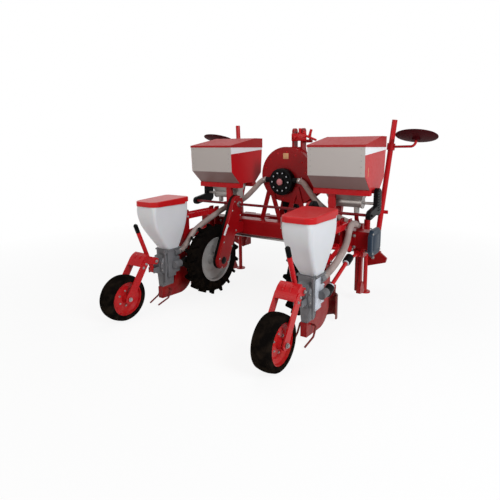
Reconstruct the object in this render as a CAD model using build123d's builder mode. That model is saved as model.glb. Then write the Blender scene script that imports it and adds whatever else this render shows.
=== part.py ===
"""Two-row mounted precision planter, parked on its wheels and stands.

Millimetres. X to the right, Y in the direction of travel, Z up; the origin is
on the ground under the middle of the whole machine.
"""
import os
from math import cos, radians, sin

from build123d import *

os.makedirs("parts", exist_ok=True)

# Fits
RUNNING = 0.1
SEAT = 0.3
PRESSED = 0.05

# Rows
ROW_SPACING = 1400
ROW_X = ROW_SPACING / 2

# Press wheels
PRESS_R = 180
PRESS_WIDTH = 130
PRESS_SECTION = 48
PRESS_SHOULDER = 20
PRESS_CROWN = 6
PRESS_RIM_R = PRESS_R - PRESS_SECTION
PRESS_RIM_HALF = 56
PRESS_RIM_WALL = 8
PRESS_DISH = 24
PRESS_HUB_R = 30
PRESS_HUB_HALF = 66
PRESS_AXLE_R = 12
PRESS_Y = -855
PRESS_AXLE = (PRESS_Y, PRESS_R)

# Main frame
BAR = 150
BAR_WALL = 8
BAR_CORNER = 16
BAR_Y = 390
BAR_Z = 585
BAR_OVERHANG = 190
BAR_HALF = ROW_X + BAR_OVERHANG
BAR_TOP = BAR_Z + BAR / 2
BAR_BOTTOM = BAR_Z - BAR / 2
BAR_REAR = BAR_Y - BAR / 2
BAR_FRONT = BAR_Y + BAR / 2
CAP = 8
BEAM = 100
BEAM_WALL = 6
BEAM_AHEAD = 350
BEAM_Y = BAR_Y + BEAM_AHEAD
BEAM_Z = 590
BEAM_HALF = ROW_X - 20
BEAM_TOP = BEAM_Z + BEAM / 2
BEAM_FRONT = BEAM_Y + BEAM / 2
MEMBER_X = 330
MEMBER = 80
GUARD_DEPTH = 32
GUARD_CHAMFER = 45

# Hitch
LINK_Y = BEAM_Y + 30
LINK_Z = 1480
LINK_R = 12.8
MAST_CHEEK = 22
MAST_GAP = 72
MAST_DEPTH = 80
MAST_FOOT = 215
MAST_RISE = 50
MAST_TOP = LINK_Z + MAST_RISE
MAST_KNEE = LINK_Z - 190
PIN_X = 410
PIN_Y = BEAM_FRONT + 80
PIN_Z = 470
PIN_R = 14
PIN_LENGTH = 83
PIN_SEAT_R = 17
PIN_HEAD = 12
HITCH_PLATE = 24

# Fan
FAN_Y = BAR_FRONT - 5
FAN_DEPTH = 120
FAN_Z = 1030
FAN_R = 235
FAN_GROWTH = 20
FAN_LIP = 9
FAN_SHEET = 5
SCROLL_X = 3
SCROLL_Z = FAN_Z + 56
MANIFOLD_R = 125
MANIFOLD_DEPTH = 65
PORTS = 10
PORT_R = 17
PORT_CIRCLE = 84
SPIGOT_LENGTH = 45
SPIGOT_Z = FAN_Z + 15
PTO_Z = 770
PTO_R = 20
PTO_SPLINE_R = 17.4
PTO_LENGTH = 100
BELT_DEPTH = 60

# Tanks
TANK_X = ROW_X - 65
TANK_WIDTH = 490
TANK_WALL = 5
TANK_BASE = 1003
TANK_HEIGHT = 342
TANK_TOP = TANK_BASE + TANK_HEIGHT
TANK_REAR = 165
TANK_FRONT = 687
LID_RISE = 91
LID_TOP = TANK_TOP + LID_RISE
LID_WALL = 7
LID_HINGE_Y = TANK_FRONT + 13
LID_HINGE_R = 9
RAIL_DROP = 43
RAIL = 60
REAR_RAIL_Y = TANK_REAR + 125
FRONT_RAIL_Y = TANK_FRONT - 177
POST_X = ROW_X - 155
POST = 60
POST_PLATE = 28
FEED_Y = 430
FEED_Z = TANK_BASE - 118
FEED_R = 42
FEED_DROP = 85
CHAIN_GUARD_X = TANK_X + TANK_WIDTH / 2 + 4
CHAIN_GUARD_DEPTH = 36

# Ground drive
SHAFT_Y = BAR_REAR - 70
SHAFT_Z = BAR_TOP + 155
SHAFT_R = 12
DRIVE_R = 322
DRIVE_WIDTH = 130
DRIVE_SECTION = 117
DRIVE_RIM_R = DRIVE_R - DRIVE_SECTION
DRIVE_RIM_WALL = 12
DRIVE_AXLE_R = 20
DRIVE_INSET = 195
DRIVE_X = ROW_X - DRIVE_INSET
DRIVE_TUCK = 12
DRIVE_Y = BAR_REAR + DRIVE_TUCK - DRIVE_R
LUGS = 16
LUG_HEIGHT = 22
LUG_WIDTH = 24
LUG_LENGTH = 74
LUG_ANGLE = 28
CASE_GAP = 10
CASE_COVER = 34
CASE_BACK = 26
CASE_R = 78
CASE_LIP = 4
CASE_BACK_X = DRIVE_X - DRIVE_WIDTH / 2 - CASE_GAP
CASE_MID_X = CASE_BACK_X - CASE_BACK
CASE_X = CASE_MID_X - CASE_COVER
SEED_SHAFT_R = 13
SEED_SHAFT_Z = BAR_BOTTOM - 28
CARDAN_X = 92
CARDAN_R = 15
YOKE_R = 23
JOINT_HIGH_Y = 100
JOINT_HIGH_Z = SEED_SHAFT_Z - 4
JOINT_LOW_Y = -270
JOINT_LOW_Z = 342

# Row unit, measured from its own row line
UNIT_REAR_Y = -160
UNIT_FRONT_Y = BAR_REAR - 45
ARM_HIGH_Z = 730
ARM_LOW_Z = 520
ARM_ARCH = 45
ARM_WIDTH = 48
ARM_PLATE = 10
CHEEK = 12
CHEEK_X = 40
PIVOT_R = 14
CHASSIS_FOOT = 235
CHASSIS_REAR = -298
METER_Y = -404
METER_Z = 345
METER_R = 100
METER_HALF = 58
METER_FOOT = 150
METER_RIBS = 8
NECK_REAR = METER_Y - 30
NECK_FRONT = METER_Y + 124
NECK_HALF = 72
HOPPER_FOOT = 480
HOPPER_HEIGHT = 405
HOPPER_TOP = HOPPER_FOOT + HOPPER_HEIGHT
HOPPER_WALL = 4
HOPPER_REAR = -596
HOPPER_FRONT = -222
SEED_LID_WALL = 16
SEED_LID_OVERHANG = 11
SEED_LID_SKIRT = 16
SEED_LID_REAR = 24
SEED_LID_FRONT = 42
SEED_HINGE_Y = HOPPER_FRONT + 19
SEED_HINGE_R = 7
HOPPER_CORNER = 28
HOPPER_REAR_CORNER = 58
SHOE_HALF = 24
SHOE_NOSE = -100
TINE_R = 7
TINE_X = 62
TINE_Y = CHASSIS_REAR - 97
TINE_Z = 120
DEFLECTOR_Y = 58
DEFLECTOR_FOOT = 25
DEFLECTOR_HEIGHT = 181
FORK_X = 74
FORK_PLATE = 10
FORK_R = 34
CROWN_Y = -690
CROWN_Z = 420
FORK_PIVOT_Y = -530
FORK_PIVOT_Z = 402
FORK_PIN_R = 10
FORK_CHEEK_X = 22
TUBE_R = 17
TUBE_LOW = (0, -543, 322)
TUBE_HIGH = (0, -673, 669)
TRUNNION_HALF = 25
HANDLE_R = 16

# Fertilizer opener, measured from its row line
SHANK_X = 62
SHANK_WIDTH = 24
SHANK_DEPTH = 40
SPOUT_X = 30
SPOUT_Y = BAR_FRONT + 27
SPOUT_R = 18
SPOUT_TOP = 420

# Vacuum hoses
HOSE_R = 26
HOSE_WALL = 4
HOSE_BESIDE = 88
HOSE_INLET = (60, METER_Y + 99, 440)

# Row markers
MARKER_PIVOT = (770, 850, 330)
MARKER_TOP = (878, 937, 1586)
MARKER_R = 24
MARKER_PIN_R = 16
MARKER_EYE_R = 40
MARKER_EYE_HALF = 30
MARKER_COLLAR = 0.81
MARKER_EAR = 0.336
MARKER_GAP = 6
MARKER_TOE = 900
DISC_CENTRE = (1089, 860, 1422)
DISC_R = 177
DISC_TILT = 17
DISC_HUB_R = 34
STEM_R = 11

# Parking stands
STAND_X = BEAM_HALF + 42
STAND_Y = BEAM_Y
STAND_R = 19
STAND_WALL = 9
STAND_PLAY = 0.4


def keep(piece, name):
    """Label one finished piece and write it out."""
    piece.part.label = name
    export_step(piece.part, f"parts/{name}.step")


def keep_pair(piece, name):
    """Write a right-hand piece and its mirror image."""
    keep(piece, f"{name}_right")
    with BuildPart() as other:
        add(mirror(piece.part, about=Plane.YZ, mode=Mode.PRIVATE))
    keep(other, f"{name}_left")


def keep_rows(piece, name):
    """Write a row unit's piece on both rows as one node."""
    with BuildPart() as both:
        with Locations((-ROW_X, 0, 0), (ROW_X, 0, 0)):
            add(piece.part)
    keep(both, name)


def keep_each_row(piece, name):
    """Write a row unit's moving piece on each row as a node of its own."""
    for side, x in (("left", -ROW_X), ("right", ROW_X)):
        with BuildPart() as one:
            with Locations((x, 0, 0)):
                add(piece.part)
        keep(one, f"{name}_{side}")


def block(x_span, y_span, z_span, mode=Mode.ADD):
    """Rectangular block between three pairs of limits."""
    spans = (x_span, y_span, z_span)
    with Locations(tuple(sum(span) / 2 for span in spans)):
        Box(*[abs(span[1] - span[0]) for span in spans], mode=mode)


def rod(start, end, radius, mode=Mode.ADD):
    """Round bar from one point to another."""
    run = Vector(*end) - Vector(*start)
    with BuildSketch(Plane(origin=start, z_dir=run)) as section:
        Circle(radius)
    extrude(section.sketch, amount=run.length, mode=mode)


def across(y, z, x_from, x_to, radius, mode=Mode.ADD):
    """Round bar along X."""
    rod((x_from, y, z), (x_to, y, z), radius, mode)


def side_plate(points, x_from, x_to, corner=0):
    """Plate with a Y-Z outline and rounded corners, between two X positions."""
    with BuildSketch(Plane.YZ.offset(x_from)) as outline:
        Polygon(*points, align=None)
        if corner:
            fillet(outline.vertices(), corner)
    extrude(outline.sketch, amount=x_to - x_from)


def cross_plate(points, y_from, y_to, corner=0):
    """Plate with an X-Z outline and rounded corners, between two Y positions."""
    with BuildSketch(Plane.XZ.offset(-y_from)) as outline:
        Polygon(*points, align=None)
        if corner:
            fillet(outline.vertices(), corner)
    extrude(outline.sketch, amount=y_from - y_to)


def link(a, radius_a, b, radius_b, x_from, x_to, mode=Mode.ADD):
    """Straight-sided link with round ends, outline in Y-Z."""
    with BuildSketch(Plane.YZ.offset(x_from)) as outline:
        with Locations(a):
            Circle(radius_a)
        with Locations(b):
            Circle(radius_b)
        make_hull()
    extrude(outline.sketch, amount=x_to - x_from, mode=mode)


def ribbon(points, width, x_from, x_to):
    """Curved plate of even width along an arc in Y-Z."""
    with BuildSketch(Plane.YZ.offset(x_from)) as outline:
        with BuildLine():
            ThreePointArc(*points)
        trace(line_width=width)
    extrude(outline.sketch, amount=x_to - x_from)


def bent_rod(points, bends, radius, bore=0):
    """Bent bar or hose along straight runs joined by arcs."""
    with BuildLine() as path:
        FilletPolyline(*points, radius=bends)
    with BuildSketch(Plane(origin=path.line @ 0, z_dir=path.line % 0)) as section:
        Circle(radius)
        if bore:
            Circle(bore, mode=Mode.SUBTRACT)
    sweep(section.sketch, path=path.line)


def square_tube(half, size, wall, corner, y, z):
    """Rolled square tube along X, open at both ends."""
    with BuildSketch(Plane.YZ.offset(-half)) as section:
        with Locations((y, z)):
            RectangleRounded(size, size, corner)
            RectangleRounded(size - 2 * wall, size - 2 * wall, corner - wall, mode=Mode.SUBTRACT)
    extrude(section.sketch, amount=2 * half)


def wheel_plane(x, y, z):
    """Sketch plane with the wheel's axle along its first axis."""
    return Plane(origin=(x, y, z), x_dir=(1, 0, 0), z_dir=(0, -1, 0))


# Main frame
with BuildPart() as toolbar:
    square_tube(BAR_HALF, BAR, BAR_WALL, BAR_CORNER, BAR_Y, BAR_Z)
keep(toolbar, "rear_toolbar")
with BuildPart() as beam:
    square_tube(BEAM_HALF, BEAM, BEAM_WALL, BEAM_WALL * 2, BEAM_Y, BEAM_Z)
keep(beam, "front_beam")
with BuildPart() as caps:
    with BuildSketch(Plane.YZ.offset(BAR_HALF)):
        with Locations((BAR_Y, BAR_Z)):
            RectangleRounded(BAR, BAR, BAR_CORNER)
    extrude(amount=CAP)
    mirror(about=Plane.YZ)
keep(caps, "toolbar_caps")
with BuildPart() as members:
    with BuildSketch(Plane.XZ.offset(-BAR_FRONT)):
        with Locations((MEMBER_X, BEAM_Z)):
            RectangleRounded(MEMBER, MEMBER, BEAM_WALL * 2)
            RectangleRounded(MEMBER - 2 * BEAM_WALL, MEMBER - 2 * BEAM_WALL, BEAM_WALL, mode=Mode.SUBTRACT)
    extrude(amount=BAR_FRONT - (BEAM_Y - BEAM / 2))
    mirror(about=Plane.YZ)
keep(members, "frame_members")
with BuildPart() as guard:
    with BuildSketch(Plane.YZ.offset(BAR_HALF + CAP)) as guard_outline:
        with Locations((BAR_Y - 28, BAR_Z - 2)):
            Rectangle(BAR + 96, BAR + 64)
        chamfer(guard_outline.vertices(), GUARD_CHAMFER)
    extrude(amount=GUARD_DEPTH)
    fillet(guard.faces().sort_by(Axis.X)[-1].edges(), 10)
keep(guard, "gear_guard")

# Three-point hitch
inner = MAST_GAP / 2
outer = inner + MAST_CHEEK
with BuildPart() as mast:
    cross_plate(((MAST_FOOT, BEAM_TOP), (MAST_FOOT - 65, BEAM_TOP), (inner, MAST_KNEE), (inner, MAST_TOP),
                 (outer, MAST_TOP), (outer, MAST_KNEE + 50)), BEAM_Y - 20, BEAM_Y - 20 + MAST_DEPTH)
    fillet(mast.edges().filter_by(Axis.X).group_by(Axis.Z)[-1], MAST_DEPTH * 0.4)
    mirror(about=Plane.YZ)
    block((-inner, inner), (LINK_Y - 35, LINK_Y + 15), (MAST_KNEE, MAST_KNEE + 60))
    block((-inner - 54, inner + 54), (LINK_Y - 35, LINK_Y + 15), (MAST_KNEE - 310, MAST_KNEE - 260))
    across(LINK_Y, LINK_Z, -outer, outer, LINK_R, Mode.SUBTRACT)
    lever_y = LINK_Y - 34
    lever_z = LINK_Z - 75
    across(lever_y, lever_z, outer, outer + 95, 15)
    rod((outer + 70, lever_y, lever_z), (outer + 82, lever_y, LINK_Z + 28), 10)
    rod((outer + 25, lever_y, lever_z), (outer + 25, LINK_Y + 62, lever_z), 12)
keep(mast, "hitch_mast")
with BuildPart() as hitch_plates:
    plate_x = PIN_X - HITCH_PLATE / 2
    with BuildSketch(Plane.YZ.offset(plate_x)) as hitch_outline:
        Polygon((BEAM_FRONT, BEAM_TOP), (BEAM_FRONT, BEAM_TOP - 120), (PIN_Y - 35, PIN_Z - 40),
                (PIN_Y + 35, PIN_Z - 40), (PIN_Y + 35, PIN_Z + 40), (PIN_Y - 20, BEAM_TOP), align=None)
        fillet(hitch_outline.vertices().group_by(Axis.Y)[-1], 26)
        with Locations((PIN_Y, PIN_Z)):
            Circle(PIN_SEAT_R + PRESSED, mode=Mode.SUBTRACT)
    extrude(amount=HITCH_PLATE)
    mirror(about=Plane.YZ)
keep(hitch_plates, "lower_hitch_plates")
with BuildPart() as hitch_pins:
    across(PIN_Y, PIN_Z, plate_x - PIN_HEAD, plate_x, PIN_SEAT_R + 8)
    across(PIN_Y, PIN_Z, plate_x, plate_x + HITCH_PLATE, PIN_SEAT_R)
    across(PIN_Y, PIN_Z, plate_x + HITCH_PLATE, plate_x + HITCH_PLATE + PIN_LENGTH, PIN_R)
    mirror(about=Plane.YZ)
keep(hitch_pins, "lower_hitch_pins")

# Fan: spiral case with lipped side sheets and an open outlet, suction manifold behind it
MOUTH_HIGH = (345, FAN_Z - 80)
MOUTH_LOW = (190, FAN_Z - 200)


def scroll(lip, y_from, y_to):
    """Slab with the fan's spiral outline, grown by a lip, between two Y positions."""
    growing = FAN_R + FAN_GROWTH
    with BuildSketch(Plane.XZ.offset(-y_from)) as outline:
        with BuildLine():
            low = CenterArc((SCROLL_X, SCROLL_Z), FAN_R, 180, 90)
            CenterArc((SCROLL_X + FAN_GROWTH, SCROLL_Z), growing, 90, 90)
            high = CenterArc((SCROLL_X + FAN_GROWTH, SCROLL_Z - FAN_GROWTH), growing + FAN_GROWTH, 0, 90)
            Polyline(high @ 0, MOUTH_HIGH, MOUTH_LOW, low @ 1)
        make_face()
        if lip:
            offset(amount=lip)
    extrude(outline.sketch, amount=y_from - y_to)


with BuildPart() as fan:
    scroll(0, FAN_Y, FAN_Y + FAN_DEPTH)
    scroll(FAN_LIP, FAN_Y, FAN_Y + FAN_SHEET)
    scroll(FAN_LIP, FAN_Y + FAN_DEPTH - FAN_SHEET, FAN_Y + FAN_DEPTH)
    mouth_x = (MOUTH_HIGH[0] + MOUTH_LOW[0]) / 2
    mouth_z = (MOUTH_HIGH[1] + MOUTH_LOW[1]) / 2
    mouth_run = Vector(MOUTH_HIGH[0] - MOUTH_LOW[0], 0, MOUTH_HIGH[1] - MOUTH_LOW[1])
    mouth_out = Vector(mouth_run.Z, 0, -mouth_run.X)
    mouth = Plane(origin=(mouth_x, FAN_Y + FAN_DEPTH / 2, mouth_z), x_dir=mouth_run, z_dir=mouth_out)
    with BuildSketch(mouth.offset(FAN_LIP)):
        Rectangle(mouth_run.length - 4 * FAN_SHEET, FAN_DEPTH - 2 * FAN_SHEET)
    extrude(amount=-FAN_DEPTH, mode=Mode.SUBTRACT)
keep(fan, "fan_housing")
with BuildPart() as manifold:
    with BuildSketch(Plane.XZ.offset(-FAN_Y)):
        with Locations((0, FAN_Z)):
            Circle(MANIFOLD_R)
    extrude(amount=MANIFOLD_DEPTH)
    fillet(manifold.faces().sort_by(Axis.Y)[0].edges(), MANIFOLD_DEPTH * 0.25)
    face = FAN_Y - MANIFOLD_DEPTH
    with BuildSketch(Plane.XZ.offset(-face)):
        with Locations((0, FAN_Z)):
            Circle(MANIFOLD_R * 0.3)
            with PolarLocations(PORT_CIRCLE, PORTS):
                Circle(PORT_R)
    extrude(amount=14)
    with BuildSketch(Plane.XZ.offset(-face + 14)):
        with Locations((0, FAN_Z)):
            with PolarLocations(PORT_CIRCLE, PORTS):
                Circle(PORT_R - 5)
    extrude(amount=-20, mode=Mode.SUBTRACT)
    spigot_y = FAN_Y - MANIFOLD_DEPTH / 2
    across(spigot_y, SPIGOT_Z, -MANIFOLD_R - SPIGOT_LENGTH, MANIFOLD_R + SPIGOT_LENGTH, HOSE_R - 1)
keep(manifold, "fan_manifold")
with BuildPart() as legs:
    leg_head = FAN_Z - 45
    cross_plate(((260, BAR_TOP), (215, BAR_TOP), (120, leg_head), (165, leg_head)), FAN_Y - CHEEK, FAN_Y)
    cross_plate(((15, BAR_TOP), (60, BAR_TOP), (165, leg_head), (120, leg_head)), FAN_Y - CHEEK, FAN_Y)
    mirror(about=Plane.YZ)
keep(legs, "fan_legs")
belt_y = FAN_Y + FAN_DEPTH
pto_y = belt_y + BELT_DEPTH
with BuildPart() as belt_guard:
    with BuildSketch(Plane.XZ.offset(-belt_y)):
        with Locations((0, FAN_Z)):
            Circle(110)
        with Locations((0, PTO_Z)):
            Circle(80)
        make_hull()
    extrude(amount=-BELT_DEPTH)
    fillet(belt_guard.faces().sort_by(Axis.Y)[-1].edges(), 14)
    rod((0, pto_y - BELT_DEPTH * 0.7, PTO_Z), (0, pto_y, PTO_Z), PTO_R + RUNNING, Mode.SUBTRACT)
keep(belt_guard, "belt_guard")
with BuildPart() as pto:
    rod((0, pto_y - BELT_DEPTH * 0.65, PTO_Z), (0, pto_y + 30, PTO_Z), PTO_R)
    with BuildSketch(Plane.XZ.offset(-(pto_y + 30))):
        with Locations((0, PTO_Z)):
            Circle(PTO_SPLINE_R - 2.5)
            with PolarLocations(PTO_SPLINE_R - 1.9, 6):
                Rectangle(3.8, 8.6)
    extrude(amount=-PTO_LENGTH)
keep(pto, "pto_shaft")

# Fertilizer tanks with their lids, supports and feed rollers
tank_span = (TANK_X - TANK_WIDTH / 2, TANK_X + TANK_WIDTH / 2)
tank_side = (
    (TANK_REAR, TANK_TOP), (TANK_REAR + 10, TANK_BASE + 116), (TANK_REAR + 135, TANK_BASE),
    (TANK_FRONT - 127, TANK_BASE), (TANK_FRONT - 22, TANK_BASE + 92), (TANK_FRONT, TANK_TOP),
)
with BuildPart() as tank:
    side_plate(tank_side, *tank_span)
    offset(amount=-TANK_WALL, openings=tank.faces().sort_by(Axis.Z)[-1])
keep_pair(tank, "tank")
lid_foot = TANK_TOP + SEAT
with BuildPart() as tank_lid:
    side_plate(((TANK_REAR - 3, lid_foot), (TANK_FRONT + 3, lid_foot), (TANK_FRONT + 3, LID_TOP),
                (TANK_FRONT - 127, LID_TOP), (TANK_REAR - 3, lid_foot + 18)),
               tank_span[0] - 3, tank_span[1] + 3)
    offset(amount=-LID_WALL, openings=tank_lid.faces().sort_by(Axis.Z)[0])
    for x in (TANK_X - TANK_WIDTH * 0.3, TANK_X + TANK_WIDTH * 0.3):
        across(LID_HINGE_Y, lid_foot, x - 22, x + 22, LID_HINGE_R)
        block((x - 22, x + 22), (TANK_FRONT + 1, LID_HINGE_Y), (lid_foot, lid_foot + LID_HINGE_R))
keep_pair(tank_lid, "tank_lid")
rail_span = (TANK_BASE - RAIL_DROP, TANK_BASE)
post_span = (POST_X - POST / 2, POST_X + POST / 2)
with BuildPart() as supports:
    block(tank_span, (REAR_RAIL_Y, REAR_RAIL_Y + RAIL), rail_span)
    block(post_span, (REAR_RAIL_Y + RAIL - POST_PLATE, REAR_RAIL_Y + RAIL), (BAR_TOP, rail_span[0]))
    block(tank_span, (FRONT_RAIL_Y, FRONT_RAIL_Y + RAIL), rail_span)
    side_plate(((FRONT_RAIL_Y + 2, rail_span[0]), (FRONT_RAIL_Y + RAIL - 2, rail_span[0]), (BAR_FRONT, BAR_TOP),
                (BAR_FRONT - POST * 0.75, BAR_TOP)), *post_span)
    mirror(about=Plane.YZ)
keep(supports, "tank_supports")
spout_x = ROW_X + SPOUT_X
with BuildPart() as feeds:
    with BuildSketch(Plane.XY.offset(TANK_BASE)):
        with Locations((TANK_X, FEED_Y)):
            Rectangle(360, 150)
    with BuildSketch(Plane.XY.offset(FEED_Z + 25)):
        with Locations((TANK_X, FEED_Y)):
            Rectangle(300, 70)
    loft()
    across(FEED_Y, FEED_Z, TANK_X - 150, TANK_X + 150, FEED_R)
    for x in (TANK_X - 150, TANK_X + 142):
        across(FEED_Y, FEED_Z, x, x + 8, FEED_R + 7)
    across(FEED_Y, FEED_Z, TANK_X, CHAIN_GUARD_X, SHAFT_R)
    rod((spout_x, FEED_Y, FEED_Z - FEED_DROP), (spout_x, FEED_Y, FEED_Z), SPOUT_R + 5)
    mirror(about=Plane.YZ)
keep(feeds, "fertilizer_meters")
guard_span = (CHAIN_GUARD_X, CHAIN_GUARD_X + CHAIN_GUARD_DEPTH)
with BuildPart() as chain_guards:
    link((FEED_Y + 10, FEED_Z - 40), 55, (FEED_Y + 10, FEED_Z + 75), 55, *guard_span)
    link((FEED_Y + 10, FEED_Z - 40), 36, (SHAFT_Y, SHAFT_Z), 36, *guard_span)
    fillet(chain_guards.faces().sort_by(Axis.X)[-1].edges(), 8)
    mirror(about=Plane.YZ)
keep(chain_guards, "meter_chain_guards")

# Ground drive: lugged wheels, chain cases and the shafts that they turn
with BuildPart() as cross_shaft:
    across(SHAFT_Y, SHAFT_Z, -CHAIN_GUARD_X, CHAIN_GUARD_X, SHAFT_R)
keep(cross_shaft, "cross_shaft")
hub = (DRIVE_Y, DRIVE_R)
case_top = (SHAFT_Y, SHAFT_Z)
with BuildPart() as cases:
    link(hub, CASE_R, case_top, CASE_R + 2, CASE_X, CASE_MID_X)
    fillet(cases.faces().sort_by(Axis.X)[0].edges(), 8)
    block((CASE_X + 2, CASE_X + 30), (SHAFT_Y - 105, BAR_REAR), (BAR_Z - 45, BAR_Z + 55))
    across(*case_top, CASE_X, CASE_MID_X, SHAFT_R + SEAT, Mode.SUBTRACT)
    mirror(about=Plane.YZ)
keep(cases, "chain_cases")
with BuildPart() as case_backs:
    link(hub, CASE_R + CASE_LIP, case_top, CASE_R + CASE_LIP + 2, CASE_MID_X, CASE_BACK_X)
    across(*case_top, CASE_MID_X, CASE_BACK_X, SHAFT_R + SEAT, Mode.SUBTRACT)
    across(*hub, CASE_BACK_X, DRIVE_X + DRIVE_WIDTH / 2 + CASE_GAP, DRIVE_AXLE_R)
    mirror(about=Plane.YZ)
keep(case_backs, "chain_case_backs")
half = DRIVE_WIDTH / 2
tread = DRIVE_R - LUG_HEIGHT
bead = DRIVE_RIM_R + SEAT
axle_line = Axis((DRIVE_X, *hub), (1, 0, 0))
with BuildPart() as drive_tyre:
    with BuildSketch(wheel_plane(DRIVE_X, *hub)):
        with BuildLine():
            Line((-half + 14, bead), (half - 14, bead))
            ThreePointArc((half - 14, bead), (half - 2, (bead + tread) / 2), (half - 14, tread - 8))
            ThreePointArc((half - 14, tread - 8), (0, tread), (-half + 14, tread - 8))
            ThreePointArc((-half + 14, tread - 8), (-half + 2, (bead + tread) / 2), (-half + 14, bead))
        make_face()
    revolve(axis=axle_line)
    with Locations(Plane(origin=(DRIVE_X, *hub), x_dir=(0, 1, 0), z_dir=(1, 0, 0))):
        for side, start in ((1, 0), (-1, 180 / LUGS)):
            with PolarLocations(DRIVE_R - LUG_HEIGHT + 2, LUGS, start_angle=start):
                with Locations((0, 0, side * half / 2)):
                    Box(LUG_HEIGHT * 2, LUG_WIDTH, LUG_LENGTH, rotation=(side * LUG_ANGLE, 0, 0))
    with BuildSketch(wheel_plane(DRIVE_X, *hub)):
        with Locations((0, (bead + DRIVE_R) / 2)):
            Rectangle(DRIVE_WIDTH, DRIVE_R - bead)
    revolve(axis=axle_line, mode=Mode.INTERSECT)
keep_pair(drive_tyre, "drive_tyre")
well = DRIVE_RIM_R - DRIVE_RIM_WALL
with BuildPart() as drive_rim:
    with BuildSketch(wheel_plane(DRIVE_X, *hub)):
        Polygon((-60, DRIVE_AXLE_R + RUNNING), (60, DRIVE_AXLE_R + RUNNING), (60, DRIVE_AXLE_R + 25),
                (20, DRIVE_AXLE_R + 40), (30, well * 0.62), (8, well - 3), (44, well), (52, DRIVE_RIM_R),
                (-52, DRIVE_RIM_R), (-44, well), (-4, well - 3), (18, well * 0.62), (8, DRIVE_AXLE_R + 40),
                (-60, DRIVE_AXLE_R + 25), align=None)
    revolve(axis=axle_line)
keep_pair(drive_rim, "drive_rim")
with BuildPart() as seed_shaft:
    across(BAR_Y, SEED_SHAFT_Z, -ROW_X + 80, BAR_HALF - 10, SEED_SHAFT_R)
keep(seed_shaft, "seed_shaft")
with BuildPart() as bevel_box:
    block((CARDAN_X - 40, CARDAN_X + 40), (BAR_Y - 60, BAR_Y + 40), (SEED_SHAFT_Z - 42, BAR_BOTTOM))
    fillet(bevel_box.edges().filter_by(Axis.X).group_by(Axis.Z)[0], 20)
    rod((CARDAN_X, JOINT_HIGH_Y + 45, JOINT_HIGH_Z), (CARDAN_X, BAR_Y - 55, JOINT_HIGH_Z), SEED_SHAFT_R)
    rod((CARDAN_X, BAR_Y - 90, JOINT_HIGH_Z), (CARDAN_X, BAR_Y - 55, JOINT_HIGH_Z), YOKE_R + 5)
    across(BAR_Y, SEED_SHAFT_Z, CARDAN_X - 40, CARDAN_X + 40, SEED_SHAFT_R + SEAT, Mode.SUBTRACT)
keep_rows(bevel_box, "bevel_boxes")
joint_high = (CARDAN_X, JOINT_HIGH_Y, JOINT_HIGH_Z)
joint_low = (CARDAN_X, JOINT_LOW_Y, JOINT_LOW_Z)
with BuildPart() as cardan:
    rod((CARDAN_X, JOINT_HIGH_Y + 45, JOINT_HIGH_Z), (CARDAN_X, JOINT_HIGH_Y - 20, JOINT_HIGH_Z), YOKE_R)
    rod(joint_low, joint_high, CARDAN_R)
    rod((CARDAN_X, JOINT_LOW_Y + 20, JOINT_LOW_Z), (CARDAN_X, JOINT_LOW_Y - 40, JOINT_LOW_Z), YOKE_R)
    for y, z in ((JOINT_HIGH_Y, JOINT_HIGH_Z), (JOINT_LOW_Y, JOINT_LOW_Z)):
        across(y, z, CARDAN_X - YOKE_R - 6, CARDAN_X + YOKE_R + 6, CARDAN_R - 4)
        rod((CARDAN_X, y, z - YOKE_R - 6), (CARDAN_X, y, z + YOKE_R + 6), CARDAN_R - 4)
keep_rows(cardan, "cardan_shafts")

# Row units: bracket, parallel arms, chassis
high_pivots = ((UNIT_REAR_Y, ARM_HIGH_Z), (UNIT_FRONT_Y, ARM_HIGH_Z))
low_pivots = ((UNIT_REAR_Y, ARM_LOW_Z), (UNIT_FRONT_Y, ARM_LOW_Z))
plate_y = BAR_REAR - CHEEK
arm_in = CHEEK_X + SEAT
arm_out = arm_in + ARM_PLATE
with BuildPart() as bracket:
    block((-75, 75), (plate_y, BAR_REAR), (BAR_BOTTOM, BAR_TOP - 10))
    for x in (-CHEEK_X, CHEEK_X - CHEEK):
        side_plate(((plate_y, ARM_LOW_Z - 30), (plate_y, ARM_HIGH_Z + 40), (UNIT_FRONT_Y - 30, ARM_HIGH_Z + 40),
                    (UNIT_FRONT_Y - 30, ARM_LOW_Z - 30)), x, x + CHEEK)
    fillet(bracket.edges().filter_by(Axis.X).group_by(Axis.Y)[0], 26)
    for y, z in (high_pivots[1], low_pivots[1]):
        across(y, z, -CHEEK_X, CHEEK_X, PIVOT_R + SEAT, Mode.SUBTRACT)
keep_rows(bracket, "unit_brackets")
with BuildPart() as arms:
    for x in (arm_in, -arm_out):
        link(high_pivots[0], ARM_WIDTH / 2, high_pivots[1], ARM_WIDTH / 2, x, x + ARM_PLATE)
        middle = ((UNIT_REAR_Y + UNIT_FRONT_Y) / 2, ARM_LOW_Z + ARM_ARCH)
        ribbon((low_pivots[0], middle, low_pivots[1]), ARM_WIDTH - 4, x, x + ARM_PLATE)
        for y, z in low_pivots:
            across(y, z, x, x + ARM_PLATE, ARM_WIDTH / 2)
    for y, z in high_pivots + low_pivots:
        across(y, z, -arm_out - 8, arm_out + 8, PIVOT_R)
    for z in (ARM_HIGH_Z, ARM_LOW_Z + ARM_ARCH):
        across(middle[0], z, -arm_out, arm_out, ARM_WIDTH / 4)
keep_rows(arms, "unit_arms")
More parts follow.
